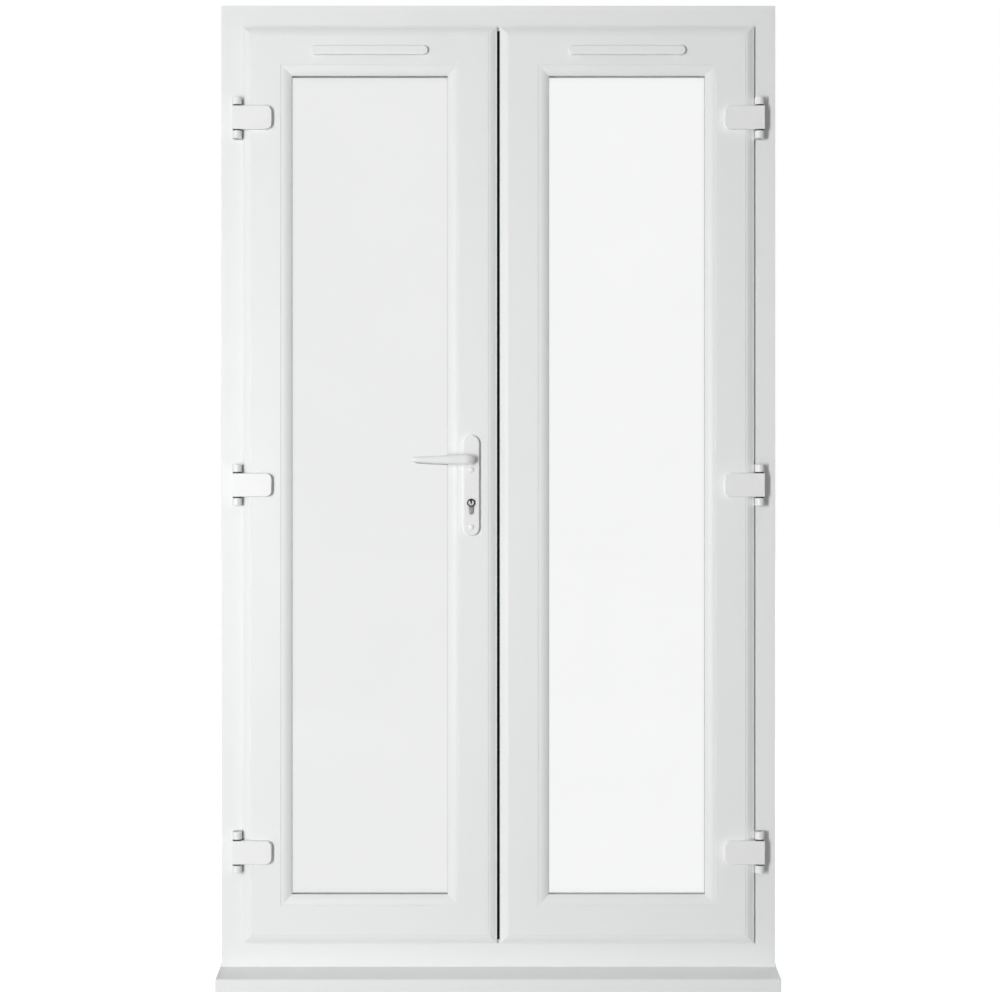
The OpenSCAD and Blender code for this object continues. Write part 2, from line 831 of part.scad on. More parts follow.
module lock_faceplate() {
    color("silver") difference() {
        block([face_x - faceplate_t, lock_y - faceplate_half, leaf_z - faceplate_l / 2],
            [face_x, lock_y + faceplate_half, leaf_z + faceplate_l / 2]);
        block([face_x - 10, lock_y - latch_half - loose, latch_z - latch_h / 2 - loose],
            [face_x + 10, lock_y + latch_half + loose, latch_z + latch_h / 2 + loose]);
    }
}

// Latch with a bevelled tip, drawn back flush.
module latch() {
    x0 = face_x - latch_l;
    x1 = face_x - loose;
    y0 = lock_y - latch_half;
    y1 = lock_y + latch_half;
    color("silver") translate([0, 0, latch_z - latch_h / 2]) linear_extrude(height = latch_h)
        polygon([[x0, y0], [x1, y0], [x1, y0 + 3], [x1 - 9, y1], [x0, y1]]);
}

module shootbolt(up) {
    start = up ? lock_top - rod_seat : body_bottom;
    end = up ? body_top : lock_bottom + rod_seat;
    color("silver") translate([rod_x, lock_y, start]) cylinder(r = rod_r, h = end - start);
}

sill();
sill_end_caps();
frame_length("top");  // frame_head
frame_length("bottom");  // frame_threshold
frame_length("left");  // frame_jamb_left
frame_length("right");  // frame_jamb_right
frame_reinforcement();
frame_weatherseal();
shootbolt_keeps();
hinge_frame_leaves(-1);  // left_hinge_frame_leaves
hinge_frame_leaves(1);  // right_hinge_frame_leaves
hinge_sash_leaves(-1);  // left_hinge_sash_leaves
hinge_sash_leaves(1);  // right_hinge_sash_leaves
hinge_pins();
hinge_washers();
leaf_length(-1, "left");  // master_hinge_stile
leaf_length(-1, "right");  // master_lock_stile
leaf_length(-1, "top");  // master_top_rail
leaf_length(-1, "bottom");  // master_bottom_rail
leaf_reinforcement(-1);  // master_reinforcement
glass_panes(-1);  // master_glass_panes
spacer(-1);  // master_spacer
glazing_gaskets(-1);  // master_glazing_gaskets
glazing_beads(-1);  // master_glazing_beads
leaf_weatherseal(-1);  // master_weatherseal
vent_cover(-1);  // master_vent_cover
vent_base(-1);  // master_vent_base
vent_flap(-1);  // master_vent_flap
leaf_length(1, "right");  // slave_hinge_stile
leaf_length(1, "left");  // slave_meeting_stile
leaf_length(1, "top");  // slave_top_rail
leaf_length(1, "bottom");  // slave_bottom_rail
leaf_reinforcement(1);  // slave_reinforcement
glass_panes(1);  // slave_glass_panes
spacer(1);  // slave_spacer
glazing_gaskets(1);  // slave_glazing_gaskets
glazing_beads(1);  // slave_glazing_beads
leaf_weatherseal(1);  // slave_weatherseal
vent_cover(1);  // slave_vent_cover
vent_base(1);  // slave_vent_base
vent_flap(1);  // slave_vent_flap
floating_mullion();
mullion_gasket();
mullion_end_caps();
latch_keep();
slave_bolt(true);  // slave_bolt_top
slave_bolt(false);  // slave_bolt_bottom
color("silver") backplate(-leaf_out - backplate_t, -leaf_out);  // outside_backplate
color("silver") backplate(leaf_back, leaf_back + backplate_t);  // inside_backplate
lever(-leaf_out, -1);  // outside_lever
lever(leaf_back, 1);  // inside_lever
lever_spindle();
handle_bolts();
cylinder_body();
cylinder_plug();
lock_case();
lock_faceplate();
latch();
shootbolt(true);  // shootbolt_top
shootbolt(false);  // shootbolt_bottom
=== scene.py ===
import math

import bpy
import bmesh
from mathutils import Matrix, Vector


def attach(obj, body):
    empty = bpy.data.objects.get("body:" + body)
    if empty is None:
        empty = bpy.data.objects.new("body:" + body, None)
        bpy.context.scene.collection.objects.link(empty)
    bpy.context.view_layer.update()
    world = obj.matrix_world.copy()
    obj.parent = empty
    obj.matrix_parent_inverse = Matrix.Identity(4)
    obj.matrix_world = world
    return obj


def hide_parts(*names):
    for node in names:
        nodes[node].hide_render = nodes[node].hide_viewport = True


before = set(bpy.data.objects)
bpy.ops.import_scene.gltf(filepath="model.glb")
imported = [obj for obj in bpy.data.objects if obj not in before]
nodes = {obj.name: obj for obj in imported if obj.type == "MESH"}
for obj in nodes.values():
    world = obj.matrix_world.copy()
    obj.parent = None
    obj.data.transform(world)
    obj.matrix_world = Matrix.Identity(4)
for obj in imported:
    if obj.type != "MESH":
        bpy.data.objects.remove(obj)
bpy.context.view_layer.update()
print("frame loaded:", len(nodes), "nodes")

mm = 0.001
effectOutputs = {
    "Colour": "NodeSocketColor", "Roughness": "NodeSocketFloat", "Normal": "NodeSocketVector",
}


# An effect: a node group with the named inputs that puts out a colour, a roughness and a normal.
def newEffect(name, inputs):
    group = bpy.data.node_groups.new(name, "ShaderNodeTree")
    for kind, names in inputs.items():
        for socketName in names:
            group.interface.new_socket(name=socketName, in_out="INPUT", socket_type=kind)
    for socketName, kind in effectOutputs.items():
        group.interface.new_socket(name=socketName, in_out="OUTPUT", socket_type=kind)
    given = group.nodes.new("NodeGroupInput").outputs
    return group, given, group.nodes.new("NodeGroupOutput")


# Gives a node's inputs their plain values, or links other sockets to them.
def feed(tree, node, inputs):
    for key, value in inputs.items():
        if isinstance(value, (int, float, tuple)):
            node.inputs[key].default_value = value
        else:
            tree.links.new(value, node.inputs[key])


def addNode(tree, kind, inputs=None, **settings):
    node = tree.nodes.new(kind)
    for key, value in settings.items():
        setattr(node, key, value)
    feed(tree, node, inputs or {})
    return node


def mathNode(tree, operation, a, b):
    return addNode(tree, "ShaderNodeMath", {0: a, 1: b}, operation=operation).outputs[0]


def noiseNode(tree, vector, scale, detail, roughness):
    inputs = {"Vector": vector, "Scale": scale, "Detail": detail, "Roughness": roughness}
    return addNode(tree, "ShaderNodeTexNoise", inputs).outputs["Fac"]


def mixColour(tree, fac, a, b):
    return addNode(tree, "ShaderNodeMix", {0: fac, 6: a, 7: b}, data_type="RGBA").outputs[2]


def mapRange(tree, value, low, high):
    inputs = {"Value": value, "To Min": low, "To Max": high}
    return addNode(tree, "ShaderNodeMapRange", inputs).outputs[0]


def bumpNode(tree, height, strength, distance):
    inputs = {"Strength": strength, "Distance": distance * mm, "Height": height}
    return addNode(tree, "ShaderNodeBump", inputs).outputs["Normal"]


def objectPlace(tree):
    return addNode(tree, "ShaderNodeTexCoord").outputs["Object"]


# 1 for rays that the camera sends, also through glass; 0 for rays that light the part.
def seenRays(tree):
    rays = addNode(tree, "ShaderNodeLightPath").outputs
    return mathNode(tree, "MAXIMUM", rays["Is Camera Ray"], rays["Is Transmission Ray"])


def dimmed(colour, factor):
    return tuple(factor * channel for channel in colour[:3]) + (1,)


# Moulded or painted skin: cloudy tint, uneven gloss and a fine orange peel.
def buildSkinGroup():
    group, given, result = newEffect("mouldedSkin", {
        "NodeSocketColor": ("Colour", "Tint"),
        "NodeSocketFloat": ("Cloud Scale", "Cloud Amount", "Rough Low", "Rough High", "Grain Scale",
                            "Grain Depth"),
    })
    place = objectPlace(group)
    cloud = noiseNode(group, place, given["Cloud Scale"], 4.0, 0.55)
    cloud = mathNode(group, "MULTIPLY", cloud, given["Cloud Amount"])
    patch = noiseNode(group, place, 14.0, 5.0, 0.6)
    grain = noiseNode(group, place, given["Grain Scale"], 2.0, 0.5)
    feed(group, result, {
        "Colour": mixColour(group, cloud, given["Colour"], given["Tint"]),
        "Roughness": mapRange(group, patch, given["Rough Low"], given["Rough High"]),
        "Normal": bumpNode(group, grain, given["Grain Depth"], 0.2),
    })
    return group


# Drawn or turned metal: fine lines along one axis, with soft smears.
def buildMetalGroup():
    group, given, result = newEffect("drawnMetal", {
        "NodeSocketColor": ("Colour", "Tint"),
        "NodeSocketVector": ("Stretch",),
        "NodeSocketFloat": ("Line Scale", "Line Depth", "Rough Low", "Rough High", "Smear"),
    })
    place = objectPlace(group)
    inputs = {0: place, 1: given["Stretch"]}
    stretch = addNode(group, "ShaderNodeVectorMath", inputs, operation="MULTIPLY")
    lines = noiseNode(group, stretch.outputs[0], given["Line Scale"], 2.0, 0.6)
    smear = noiseNode(group, place, 40.0, 4.0, 0.6)
    smear = mathNode(group, "MULTIPLY", smear, given["Smear"])
    feed(group, result, {
        "Colour": mixColour(group, smear, given["Colour"], given["Tint"]),
        "Roughness": mapRange(group, lines, given["Rough Low"], given["Rough High"]),
        "Normal": bumpNode(group, lines, given["Line Depth"], 0.1),
    })
    return group


skinGroup = buildSkinGroup()
metalGroup = buildMetalGroup()


def newMaterial(name):
    material = bpy.data.materials.new(name)
    material.use_nodes = True
    tree = material.node_tree
    return material, tree, tree.nodes["Principled BSDF"]


# A look's values go to the effect where it has such an input, and else to the shader.
def effectMaterial(name, group, look):
    material, tree, shader = newMaterial(name)
    effect = addNode(tree, "ShaderNodeGroup", node_tree=group)
    for socketName, value in look.items():
        feed(tree, effect if socketName in effect.inputs else shader, {socketName: value})
    feed(tree, shader, dict(zip(("Base Color", "Roughness", "Normal"), effect.outputs)))
    return material


skinFinishes = {
    "whiteUpvc": {
        "Colour": (0.885, 0.895, 0.89, 1), "Tint": (0.84, 0.86, 0.85, 1),
        "Cloud Scale": 5.0, "Cloud Amount": 0.35, "Rough Low": 0.36, "Rough High": 0.5,
        "Grain Scale": 1400.0, "Grain Depth": 0.03,
        "Specular IOR Level": 0.3,
    },
    "hingeWhite": {
        "Colour": (0.9, 0.905, 0.9, 1), "Tint": (0.86, 0.87, 0.865, 1),
        "Cloud Scale": 24.0, "Cloud Amount": 0.3, "Rough Low": 0.26, "Rough High": 0.36,
        "Grain Scale": 1100.0, "Grain Depth": 0.09,
        "Specular IOR Level": 0.35, "Coat Weight": 0.06, "Coat Roughness": 0.25,
    },
    "handleWhite": {
        "Colour": (0.9, 0.905, 0.9, 1), "Tint": (0.86, 0.87, 0.865, 1),
        "Cloud Scale": 30.0, "Cloud Amount": 0.25, "Rough Low": 0.2, "Rough High": 0.3,
        "Grain Scale": 1000.0, "Grain Depth": 0.06,
        "Specular IOR Level": 0.4, "Coat Weight": 0.12, "Coat Roughness": 0.18,
    },
    "blackRubber": {
        "Colour": (0.008, 0.008, 0.009, 1), "Tint": (0.022, 0.022, 0.024, 1),
        "Cloud Scale": 45.0, "Cloud Amount": 0.5, "Rough Low": 0.5, "Rough High": 0.72,
        "Grain Scale": 2200.0, "Grain Depth": 0.2,
        "Specular IOR Level": 0.18,
    },
    "glazingRubber": {
        "Colour": (0.24, 0.25, 0.255, 1), "Tint": (0.32, 0.33, 0.335, 1),
        "Cloud Scale": 45.0, "Cloud Amount": 0.5, "Rough Low": 0.5, "Rough High": 0.7,
        "Grain Scale": 2200.0, "Grain Depth": 0.15,
        "Specular IOR Level": 0.25,
    },
    "greyNylon": {
        "Colour": (0.04, 0.041, 0.043, 1), "Tint": (0.075, 0.077, 0.08, 1),
        "Cloud Scale": 60.0, "Cloud Amount": 0.5, "Rough Low": 0.38, "Rough High": 0.55,
        "Grain Scale": 1800.0, "Grain Depth": 0.12,
        "Specular IOR Level": 0.45,
    },
}
metalFinishes = {
    "nickel": {
        "Colour": (0.36, 0.36, 0.355, 1), "Tint": (0.25, 0.25, 0.245, 1),
        "Stretch": (1.0, 0.05, 1.0), "Line Scale": 1800.0, "Line Depth": 0.12,
        "Rough Low": 0.24, "Rough High": 0.4, "Smear": 0.45,
        "Metallic": 1.0,
    },
    # The plug's nickel is paler and less metallic than the body's: a painted highlight that stands in
    # for the light its face catches.
    "plugNickelHighlight": {
        "Colour": (0.62, 0.62, 0.61, 1), "Tint": (0.52, 0.52, 0.51, 1),
        "Stretch": (1.0, 0.05, 1.0), "Line Scale": 1800.0, "Line Depth": 0.1,
        "Rough Low": 0.3, "Rough High": 0.45, "Smear": 0.4,
        "Metallic": 0.25,
    },
    # Near-black painted shade for the ring about the plug and for the depth of the keyways.
    "paintedShadeBlack": {
        "Colour": (0.014, 0.014, 0.013, 1), "Tint": (0.03, 0.029, 0.028, 1),
        "Stretch": (1.0, 0.05, 1.0), "Line Scale": 2000.0, "Line Depth": 0.1,
        "Rough Low": 0.5, "Rough High": 0.66, "Smear": 0.6,
        "Specular IOR Level": 0.18,
    },
    "zincSteel": {
        "Colour": (0.6, 0.61, 0.62, 1), "Tint": (0.42, 0.43, 0.45, 1),
        "Stretch": (1.0, 1.0, 0.04), "Line Scale": 1200.0, "Line Depth": 0.16,
        "Rough Low": 0.28, "Rough High": 0.46, "Smear": 0.55,
        "Metallic": 1.0,
    },
    "spacerAluminium": {
        "Colour": (0.74, 0.75, 0.76, 1), "Tint": (0.6, 0.61, 0.63, 1),
        "Stretch": (0.05, 1.0, 0.05), "Line Scale": 900.0, "Line Depth": 0.1,
        "Rough Low": 0.45, "Rough High": 0.6, "Smear": 0.3,
        "Metallic": 0.15,
    },
}

materials = {}
for group, finishes in ((skinGroup, skinFinishes), (metalGroup, metalFinishes)):
    for finishName, look in finishes.items():
        materials[finishName] = effectMaterial(finishName, group, look)


# The left leaf's glass is dimmed more than the right's: painted shade that stands in for the darker
# reflection on that pane.
glassLook = {
    "paintedShadeTones": {"masterGlass": 0.93, "slaveGlass": 0.972}, "green": (0.997, 1, 0.999), "deeper": 0.99,
    "ior": 1.36, "roughness": 0.0, "waveScale": 6.0, "waveDepth": 0.015,
}


# Float glass: a very slight roll wave and a faint green cast.
def buildGlass(name, tone):
    look = glassLook
    # The tone darkens the pane's colour, more on the left leaf than the right: painted shade.
    colour = dimmed(look["green"], tone)
    material, tree, shader = newMaterial(name)
    wave = noiseNode(tree, objectPlace(tree), look["waveScale"], 1.0, 0.4)
    feed(tree, shader, {
        "Transmission Weight": 1.0, "IOR": look["ior"], "Roughness": look["roughness"],
        "Base Color": mixColour(tree, wave, colour, dimmed(colour, look["deeper"])),
        "Normal": bumpNode(tree, wave, look["waveDepth"], 1),
    })
    # Lamps and bounced light pass straight through, so the spacer and beads behind are lit.
    clear = addNode(tree, "ShaderNodeBsdfTransparent", {"Color": colour})
    rays = addNode(tree, "ShaderNodeLightPath").outputs
    passing = mathNode(tree, "MAXIMUM", rays["Is Shadow Ray"], rays["Is Diffuse Ray"])
    mix = addNode(tree, "ShaderNodeMixShader", {0: passing, 1: shader.outputs[0], 2: clear.outputs[0]})
    feed(tree, tree.nodes["Material Output"], {"Surface": mix.outputs[0]})
    return material


for glassName, tone in glassLook["paintedShadeTones"].items():
    materials[glassName] = buildGlass(glassName.replace("Glass", "FloatGlass"), tone)
print("materials ready:", len(materials))


# All sizes below are in millimetres; points become metres when they reach a mesh.
overall = {"width": 1190, "height": 2060, "depth": 70, "sillHeight": 40}
leafSize = {"width": 545, "height": 1966}
frameMiddle = overall["sillHeight"] + overall["height"] / 2
leafFront, leafBack = -16, 50
leafPlaces = {"master": (-275.5, 1070), "slave": (275.5, 1070)}
sharpAngle = 38


def arcPoints(cx, cy, rx, ry, start, end, steps):
    points = []
    for index in range(steps + 1):
        angle = math.radians(start + (end - start) * index / steps)
        points.append((cx + rx * math.cos(angle), cy + ry * math.sin(angle)))
    return points


def newObject(name, data):
    item = bpy.data.objects.new(name, data)
    bpy.context.scene.collection.objects.link(item)
    return item


def newMesh(name, bm):
    mesh = bpy.data.meshes.new(name)
    bm.to_mesh(mesh)
    bm.free()
    return mesh


# Takes (x, y, radius) corners and returns the outline with each corner rounded.
def roundCorners(corners, steps=4):
    outline = []
    count = len(corners)
    for index, corner in enumerate(corners):
        radius = corner[2] if len(corner) > 2 else 0
        here = Vector(corner[:2])
        if radius <= 0:
            outline.append((here.x, here.y))
            continue
        toBefore = (Vector(corners[index - 1][:2]) - here).normalized()
        toAfter = (Vector(corners[(index + 1) % count][:2]) - here).normalized()
        half = toBefore.angle(toAfter) / 2
        reach = radius / math.tan(half)
        first = here + toBefore * reach
        last = here + toAfter * reach
        centre = here + (toBefore + toAfter).normalized() * (radius / math.sin(half))
        for step in range(steps + 1):
            blend = step / steps
            arm = (first - centre).slerp(last - centre, blend).normalized() * radius
            outline.append((centre.x + arm.x, centre.y + arm.y))
    return outline


# Moves every point of a closed outline inwards.
def insetOutline(outline, distance):
    area = 0
    count = len(outline)
    for index in range(count):
        ax, ay = outline[index - 1]
        bx, by = outline[index]
        area += ax * by - bx * ay
    turn = 1 if area > 0 else -1
    moved = []
    for index in range(count):
        before = Vector(outline[index - 1])
        here = Vector(outline[index])
        after = Vector(outline[(index + 1) % count])
        a = (here - before).normalized()
        b = (after - here).normalized()
        normal = Vector((-a.y - b.y, a.x + b.x)) * turn
        if normal.length < 1e-6:
            moved.append((here.x, here.y))
            continue
        normal.normalize()
        moved.append((here.x + normal.x * distance, here.y + normal.y * distance))
    return moved


# Joins closed rings of points into one skin, with a cap at each end unless it closes on itself.
def loftRings(bm, rings, caps=True):
    made = [[bm.verts.new(Vector(point) * mm) for point in ring] for ring in rings]
    for lower, upper in zip(made, made[1:]):
        count = len(lower)
        for index in range(count):
            nextIndex = (index + 1) % count
            bm.faces.new((lower[index], lower[nextIndex], upper[nextIndex], upper[index]))
    if caps:
        bm.faces.new(made[0][::-1])
        bm.faces.new(made[-1])


# For each side of a rectangle: the way its length runs, and the way inwards.
sideAxes = {
    "top": ((-1, 0), (0, -1)), "bottom": ((1, 0), (0, 1)),
    "left": ((0, -1), (1, 0)), "right": ((0, 1), (-1, 0)),
}


# One mitred length of a section (inset, depth) along a side of a rectangle.
def mitredLength(bm, section, size, side, centre, slack=0, groove=0, grooveWidth=0):
    length, across = size["width"], size["height"]
    if side in ("left", "right"):
        length, across = across, length
    along, inwards = sideAxes[side]
    small = insetOutline(section, groove) if groove > 0 else section
    stations = [(-1, slack, small), (1, slack, small)]
    if groove > 0:
        stations = [
            (-1, slack, small), (-1, slack + grooveWidth, section),
            (1, slack + grooveWidth, section), (1, slack, small),
        ]
    rings = []
    for end, gap, points in stations:
        ring = []
        for inset, depth in points:
            run = end * (length / 2 - inset - gap)
            fromMiddle = inset - across / 2
            x = centre[0] + along[0] * run + inwards[0] * fromMiddle
            z = centre[1] + along[1] * run + inwards[1] * fromMiddle
            ring.append((x, depth, z))
        rings.append(ring)
    loftRings(bm, rings)


# A straight extrusion of a (depth, height) outline along X, with eased ends.
def alongX(bm, outline, x0, x1, ease=0.0):
    small = insetOutline(outline, ease) if ease > 0 else outline
    stations = [(x0, outline), (x1, outline)]
    if ease > 0:
        stations = [(x0, small), (x0 + ease, outline), (x1 - ease, outline), (x1, small)]
    loftRings(bm, [[(x, y, z) for y, z in points] for x, points in stations])


# A slab in X and Z, from the back face to a front face whose rim is rounded.
def roundedSlab(bm, outlineAt, back, front, rim, steps, backRim=0.0):
    direction = 1 if front > back else -1
    rings = []
    if backRim > 0:
        rings.append((backRim, back))
        rings.append((0, back + direction * backRim))
    else:
        rings.append((0, back))
    for index in range(steps + 1):
        angle = math.pi / 2 * index / steps
        inset = rim * (1 - math.cos(angle))
        depth = front - direction * rim * (1 - math.sin(angle))
        rings.append((inset, depth))
    loftRings(bm, [[(x, depth, z) for x, z in outlineAt(inset)] for inset, depth in rings])


# Outline of a rectangle with its own radius at each corner, shrunk by an inset.
def cornerRect(x0, z0, x1, z1, radii, steps):
    def outlineAt(inset):
        points = []
        corners = (
            (x0, z0, 1, 1, 180), (x1, z0, -1, 1, 270), (x1, z1, -1, -1, 0), (x0, z1, 1, -1, 90),
        )
        for (cx, cz, sx, sz, start), radius in zip(corners, radii):
            rounding = max(radius - inset, 0.05)
            centreX = cx + sx * (inset + rounding)
            centreZ = cz + sz * (inset + rounding)
            points += arcPoints(centreX, centreZ, rounding, rounding, start, start + 90, steps)
        return points
    return outlineAt


def stadiumOutline(cx, cz, length, width, upright=False, steps=12):
    halfX, halfZ = (width / 2, length / 2) if upright else (length / 2, width / 2)
    return cornerRect(cx - halfX, cz - halfZ, cx + halfX, cz + halfZ, (width / 2,) * 4, steps)


# A box whose twelve edges are eased.
def easedBox(bm, low, high, ease, steps=3):
    x0, y0, z0 = low
    x1, y1, z1 = high
    outlineAt = cornerRect(x0, z0, x1, z1, (ease,) * 4, steps)
    roundedSlab(bm, outlineAt, y1, y0, ease, steps, ease)


# A turned solid: (radius, position) points about an axis through centre.
def turned(bm, profile, centre, axis, steps=64):
    rings = []
    for radius, position in profile:
        ring = []
        for index in range(steps):
            angle = 2 * math.pi * index / steps
            a = radius * math.cos(angle)
            b = radius * math.sin(angle)
            if axis == "Z":
                ring.append((centre[0] + a, centre[1] + b, centre[2] + position))
            else:
                ring.append((centre[0] + a, centre[1] + position, centre[2] + b))
        rings.append(ring)
    loftRings(bm, rings)


def easedRod(bm, radius, start, end, centre, axis, ease, steps=64):
    core = radius - ease
    turns = [math.pi / 2 * index / 3 for index in range(1, 4)]
    profile = [(core, start)]
    profile += [(core + ease * math.sin(t), start + ease - ease * math.cos(t)) for t in turns]
    profile += [(core + ease * math.sin(t), end - ease + ease * math.cos(t)) for t in turns[::-1]]
    profile.append((core, end))
    turned(bm, profile, centre, axis, steps)


# Turns a filled bmesh into a finished piece on its body.
def finishPiece(name, bm, finishName, body, node=None, cutter=None):
    bmesh.ops.recalc_face_normals(bm, faces=bm.faces)
    piece = newObject(name, newMesh(name, bm))
    if cutter is not None:
        cutPiece(piece, cutter)
    mesh = piece.data
    mesh.materials.clear()
    mesh.materials.append(materials[finishName])
    mesh.polygons.foreach_set("use_smooth", [True] * len(mesh.polygons))
    mesh.set_sharp_from_angle(angle=math.radians(sharpAngle))
    weighted = piece.modifiers.new("weightedNormal", "WEIGHTED_NORMAL")
    weighted.mode = "FACE_AREA"
    weighted.keep_sharp = True
    weighted.weight = 50
    if node:
        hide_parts(node)
    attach(piece, body)


# Cuts the shape drawn in another bmesh out of a piece, for good.
def cutPiece(piece, cutterBm):
    bmesh.ops.recalc_face_normals(cutterBm, faces=cutterBm.faces)
    cutter = newObject("cutter", newMesh("cutter", cutterBm))
    cut = piece.modifiers.new("cut", "BOOLEAN")
    cut.operation = "DIFFERENCE"
    cut.solver = "EXACT"
    cut.use_self = True
    cut.object = cutter
    bpy.context.view_layer.update()
    evaluated = piece.evaluated_get(bpy.context.evaluated_depsgraph_get())
    result = bpy.data.meshes.new_from_object(evaluated)
    piece.modifiers.clear()
    piece.data = result
    bpy.data.objects.remove(cutter)


frameLook = {
    "backRadius": 0.6, "edgeRadius": 1.2, "innerRadius": 1.0, "mitreGroove": 0.14, "mitreWidth": 0.35,
    "rebate": 55, "upstand": 20, "upstandY": 52, "sealSlot": 8.5, "slotDepth": 0.8,
    "boltHoles": (-39, 6), "holeY": 25, "holeRadius": 6, "holeDepth": 16, "overcut": 2,
}


# Section of the frame: flat face, rebate, and an upstand with a shallow seal slot.
def frameSection():
    look = frameLook
    inner = look["rebate"] + look["upstand"]
    seat = look["upstandY"]
    slotOuter = inner - look["sealSlot"]
    return roundCorners([
        (0, 0, look["backRadius"]), (look["rebate"], 0, look["edgeRadius"]), (look["rebate"], seat),
        (slotOuter, seat, 0.4), (slotOuter, seat + look["slotDepth"]),
        (inner - 0.5, seat + look["slotDepth"], 0.3), (inner - 0.3, seat, 0.3), (inner, seat + 1, 0.5),
        (inner, overall["depth"], look["innerRadius"]), (0, overall["depth"], look["backRadius"]),
    ])


def buildFrame():
    look = frameLook
    section = frameSection()
    names = {"top": "head", "bottom": "threshold", "left": "jamb_left", "right": "jamb_right"}
    for side, part in names.items():
        bm = bmesh.new()
        mitredLength(bm, section, overall, side, (0, frameMiddle), 0, look["mitreGroove"],
                     look["mitreWidth"])
        cutter = None
        if side in ("top", "bottom"):
            cutter = bmesh.new()
            up = 1 if side == "top" else -1
            edge = frameMiddle + up * (overall["height"] / 2 - look["rebate"])
            low, high = sorted((edge - up * look["overcut"], edge + up * look["holeDepth"]))
            for x in look["boltHoles"]:
                bore = [(look["holeRadius"], low), (look["holeRadius"], high)]
                turned(cutter, bore, (x, look["holeY"], 0), "Z", 32)
        finishPiece(part + "Moulding", bm, "whiteUpvc", "frame", "frame_" + part, cutter=cutter)


leafLook = {
    "edgeRadius": 0.7, "lipRadius": 0.8, "mitreGroove": 0.14, "mitreWidth": 0.35, "sight": 105.5,
    "rebateU": 86, "rebateY": -7, "flangeY": -3, "quirkY": -14.4, "bodyU": 20, "bodyRadius": 0.9,
    "ovolo": (17.4, -15.1, 2.9, -9.2, 1.6), "flat": (19, 82),
    "glazingOvolo": (83.6, -15, 105.2, -7.7, 2.2),
    "grooveU": 23.2, "grooveY": (16.8, 33.2), "ventZ": 2000, "slotHalf": (50, 6), "slotPlace": 57.5,
    "boltX": -39, "boltY": 25, "boltRadius": 5.4, "boltDepth": 30,
}


def risingCurve(u0, y0, u1, y1, power):
    points = []
    for index in range(23):
        along = index / 22
        points.append((u0 + (u1 - u0) * along, y0 + (y1 - y0) * along ** power))
    return points


# Section of the leaf: flange lip, ovolo, quirk, flat, quirk, glazing ovolo, rebate, groove.
def leafSection():
    look = leafLook
    sight, body = look["sight"], look["bodyU"]
    rebateU, rebateY, quirk = look["rebateU"], look["rebateY"], look["quirkY"]
    grooveFrom, grooveTo = look["grooveY"]
    flatFrom, flatTo = look["flat"]
    corners = [(0, look["flangeY"], 0.5), (0, -9, look["lipRadius"]), (2.2, -9.1, 0.1), (2.5, -8.6)]
    corners += risingCurve(*look["ovolo"])[::-1]
    corners += [(flatFrom - 0.9, quirk, 0.2), (flatFrom, leafFront, look["edgeRadius"]),
                (flatTo, leafFront, look["edgeRadius"]), (flatTo + 0.9, quirk, 0.2)]
    corners += risingCurve(*look["glazingOvolo"])
    corners += [(sight, -7.4), (sight, rebateY, 0.1), (rebateU, rebateY),
                (rebateU, leafBack, look["bodyRadius"]), (body, leafBack, look["bodyRadius"]),
                (body, grooveTo, 0.4), (look["grooveU"], grooveTo), (look["grooveU"], grooveFrom),
                (body, grooveFrom, 0.4), (body, look["flangeY"])]
    return roundCorners(corners)


# The two vent slots of a top rail, from y0 to y1 through the thickness.
def ventSlots(cutter, x, y0, y1, ease):
    look = leafLook
    halfX, halfZ = look["slotHalf"]
    for s in (-1, 1):
        middle = x + s * look["slotPlace"]
        easedBox(cutter, (middle - halfX, y0, look["ventZ"] - halfZ),
                 (middle + halfX, y1, look["ventZ"] + halfZ), ease)


def buildLeaves():
    look = leafLook
    section = leafSection()
    for leaf, (x, z) in leafPlaces.items():
        names = {"top": "top_rail", "bottom": "bottom_rail"}
        names["left"] = "hinge_stile" if leaf == "master" else "meeting_stile"
        names["right"] = "lock_stile" if leaf == "master" else "hinge_stile"
        for side, part in names.items():
            bm = bmesh.new()
            mitredLength(bm, section, leafSize, side, (x, z), 0, look["mitreGroove"],
                         look["mitreWidth"])
            vented = side == "top"
            bored = leaf == "master" and side in ("top", "bottom")
            cutter = bmesh.new() if vented or bored else None
            if vented:
                ventSlots(cutter, x, leafFront - 4, leafBack + 4, 2)
            if bored:
                up = 1 if side == "top" else -1
                edge = z + up * (leafSize["height"] / 2 - look["bodyU"])
                low, high = sorted((edge - up * look["boltDepth"], edge + up * 2))
                bore = [(look["boltRadius"], low), (look["boltRadius"], high)]
                turned(cutter, bore, (look["boltX"], look["boltY"], 0), "Z", 32)
            finishPiece(leaf + part.title().replace("_", ""), bm, "whiteUpvc", leaf + "_leaf",
                        leaf + "_" + part, cutter=cutter)


glazingLook = {
    "beadFrom": 86, "beadFront": 27, "beadSight": 101.2, "curveFrom": 92, "curveY": 33,
    "backRadius": 0.4, "slack": 0.2, "mitreGroove": 0.2, "mitreWidth": 0.3,
    "outerStrip": [(95.5, -7), (105.8, -7, 0.4), (106.0, -4.4, 0.3), (95.5, -4)],
    "innerStrip": [(94.5, 24), (97.2, 24.2, 0.3), (97.4, 27, 0.6), (94.5, 27)],
}


# The bead sits inside of the pane, between the unit and the leaf's inner face.
def beadSection():
    look = glazingLook
    sight, curveFrom, curveY = look["beadSight"], look["curveFrom"], look["curveY"]
    section = [(look["beadFrom"], look["beadFront"]), (sight - 0.4, look["beadFront"]),
               (sight, look["beadFront"] + 0.4)]
    section += arcPoints(curveFrom, curveY, sight - curveFrom, leafBack - curveY, 0, 90, 16)
    return roundCorners(section + [(look["beadFrom"], leafBack, look["backRadius"])])


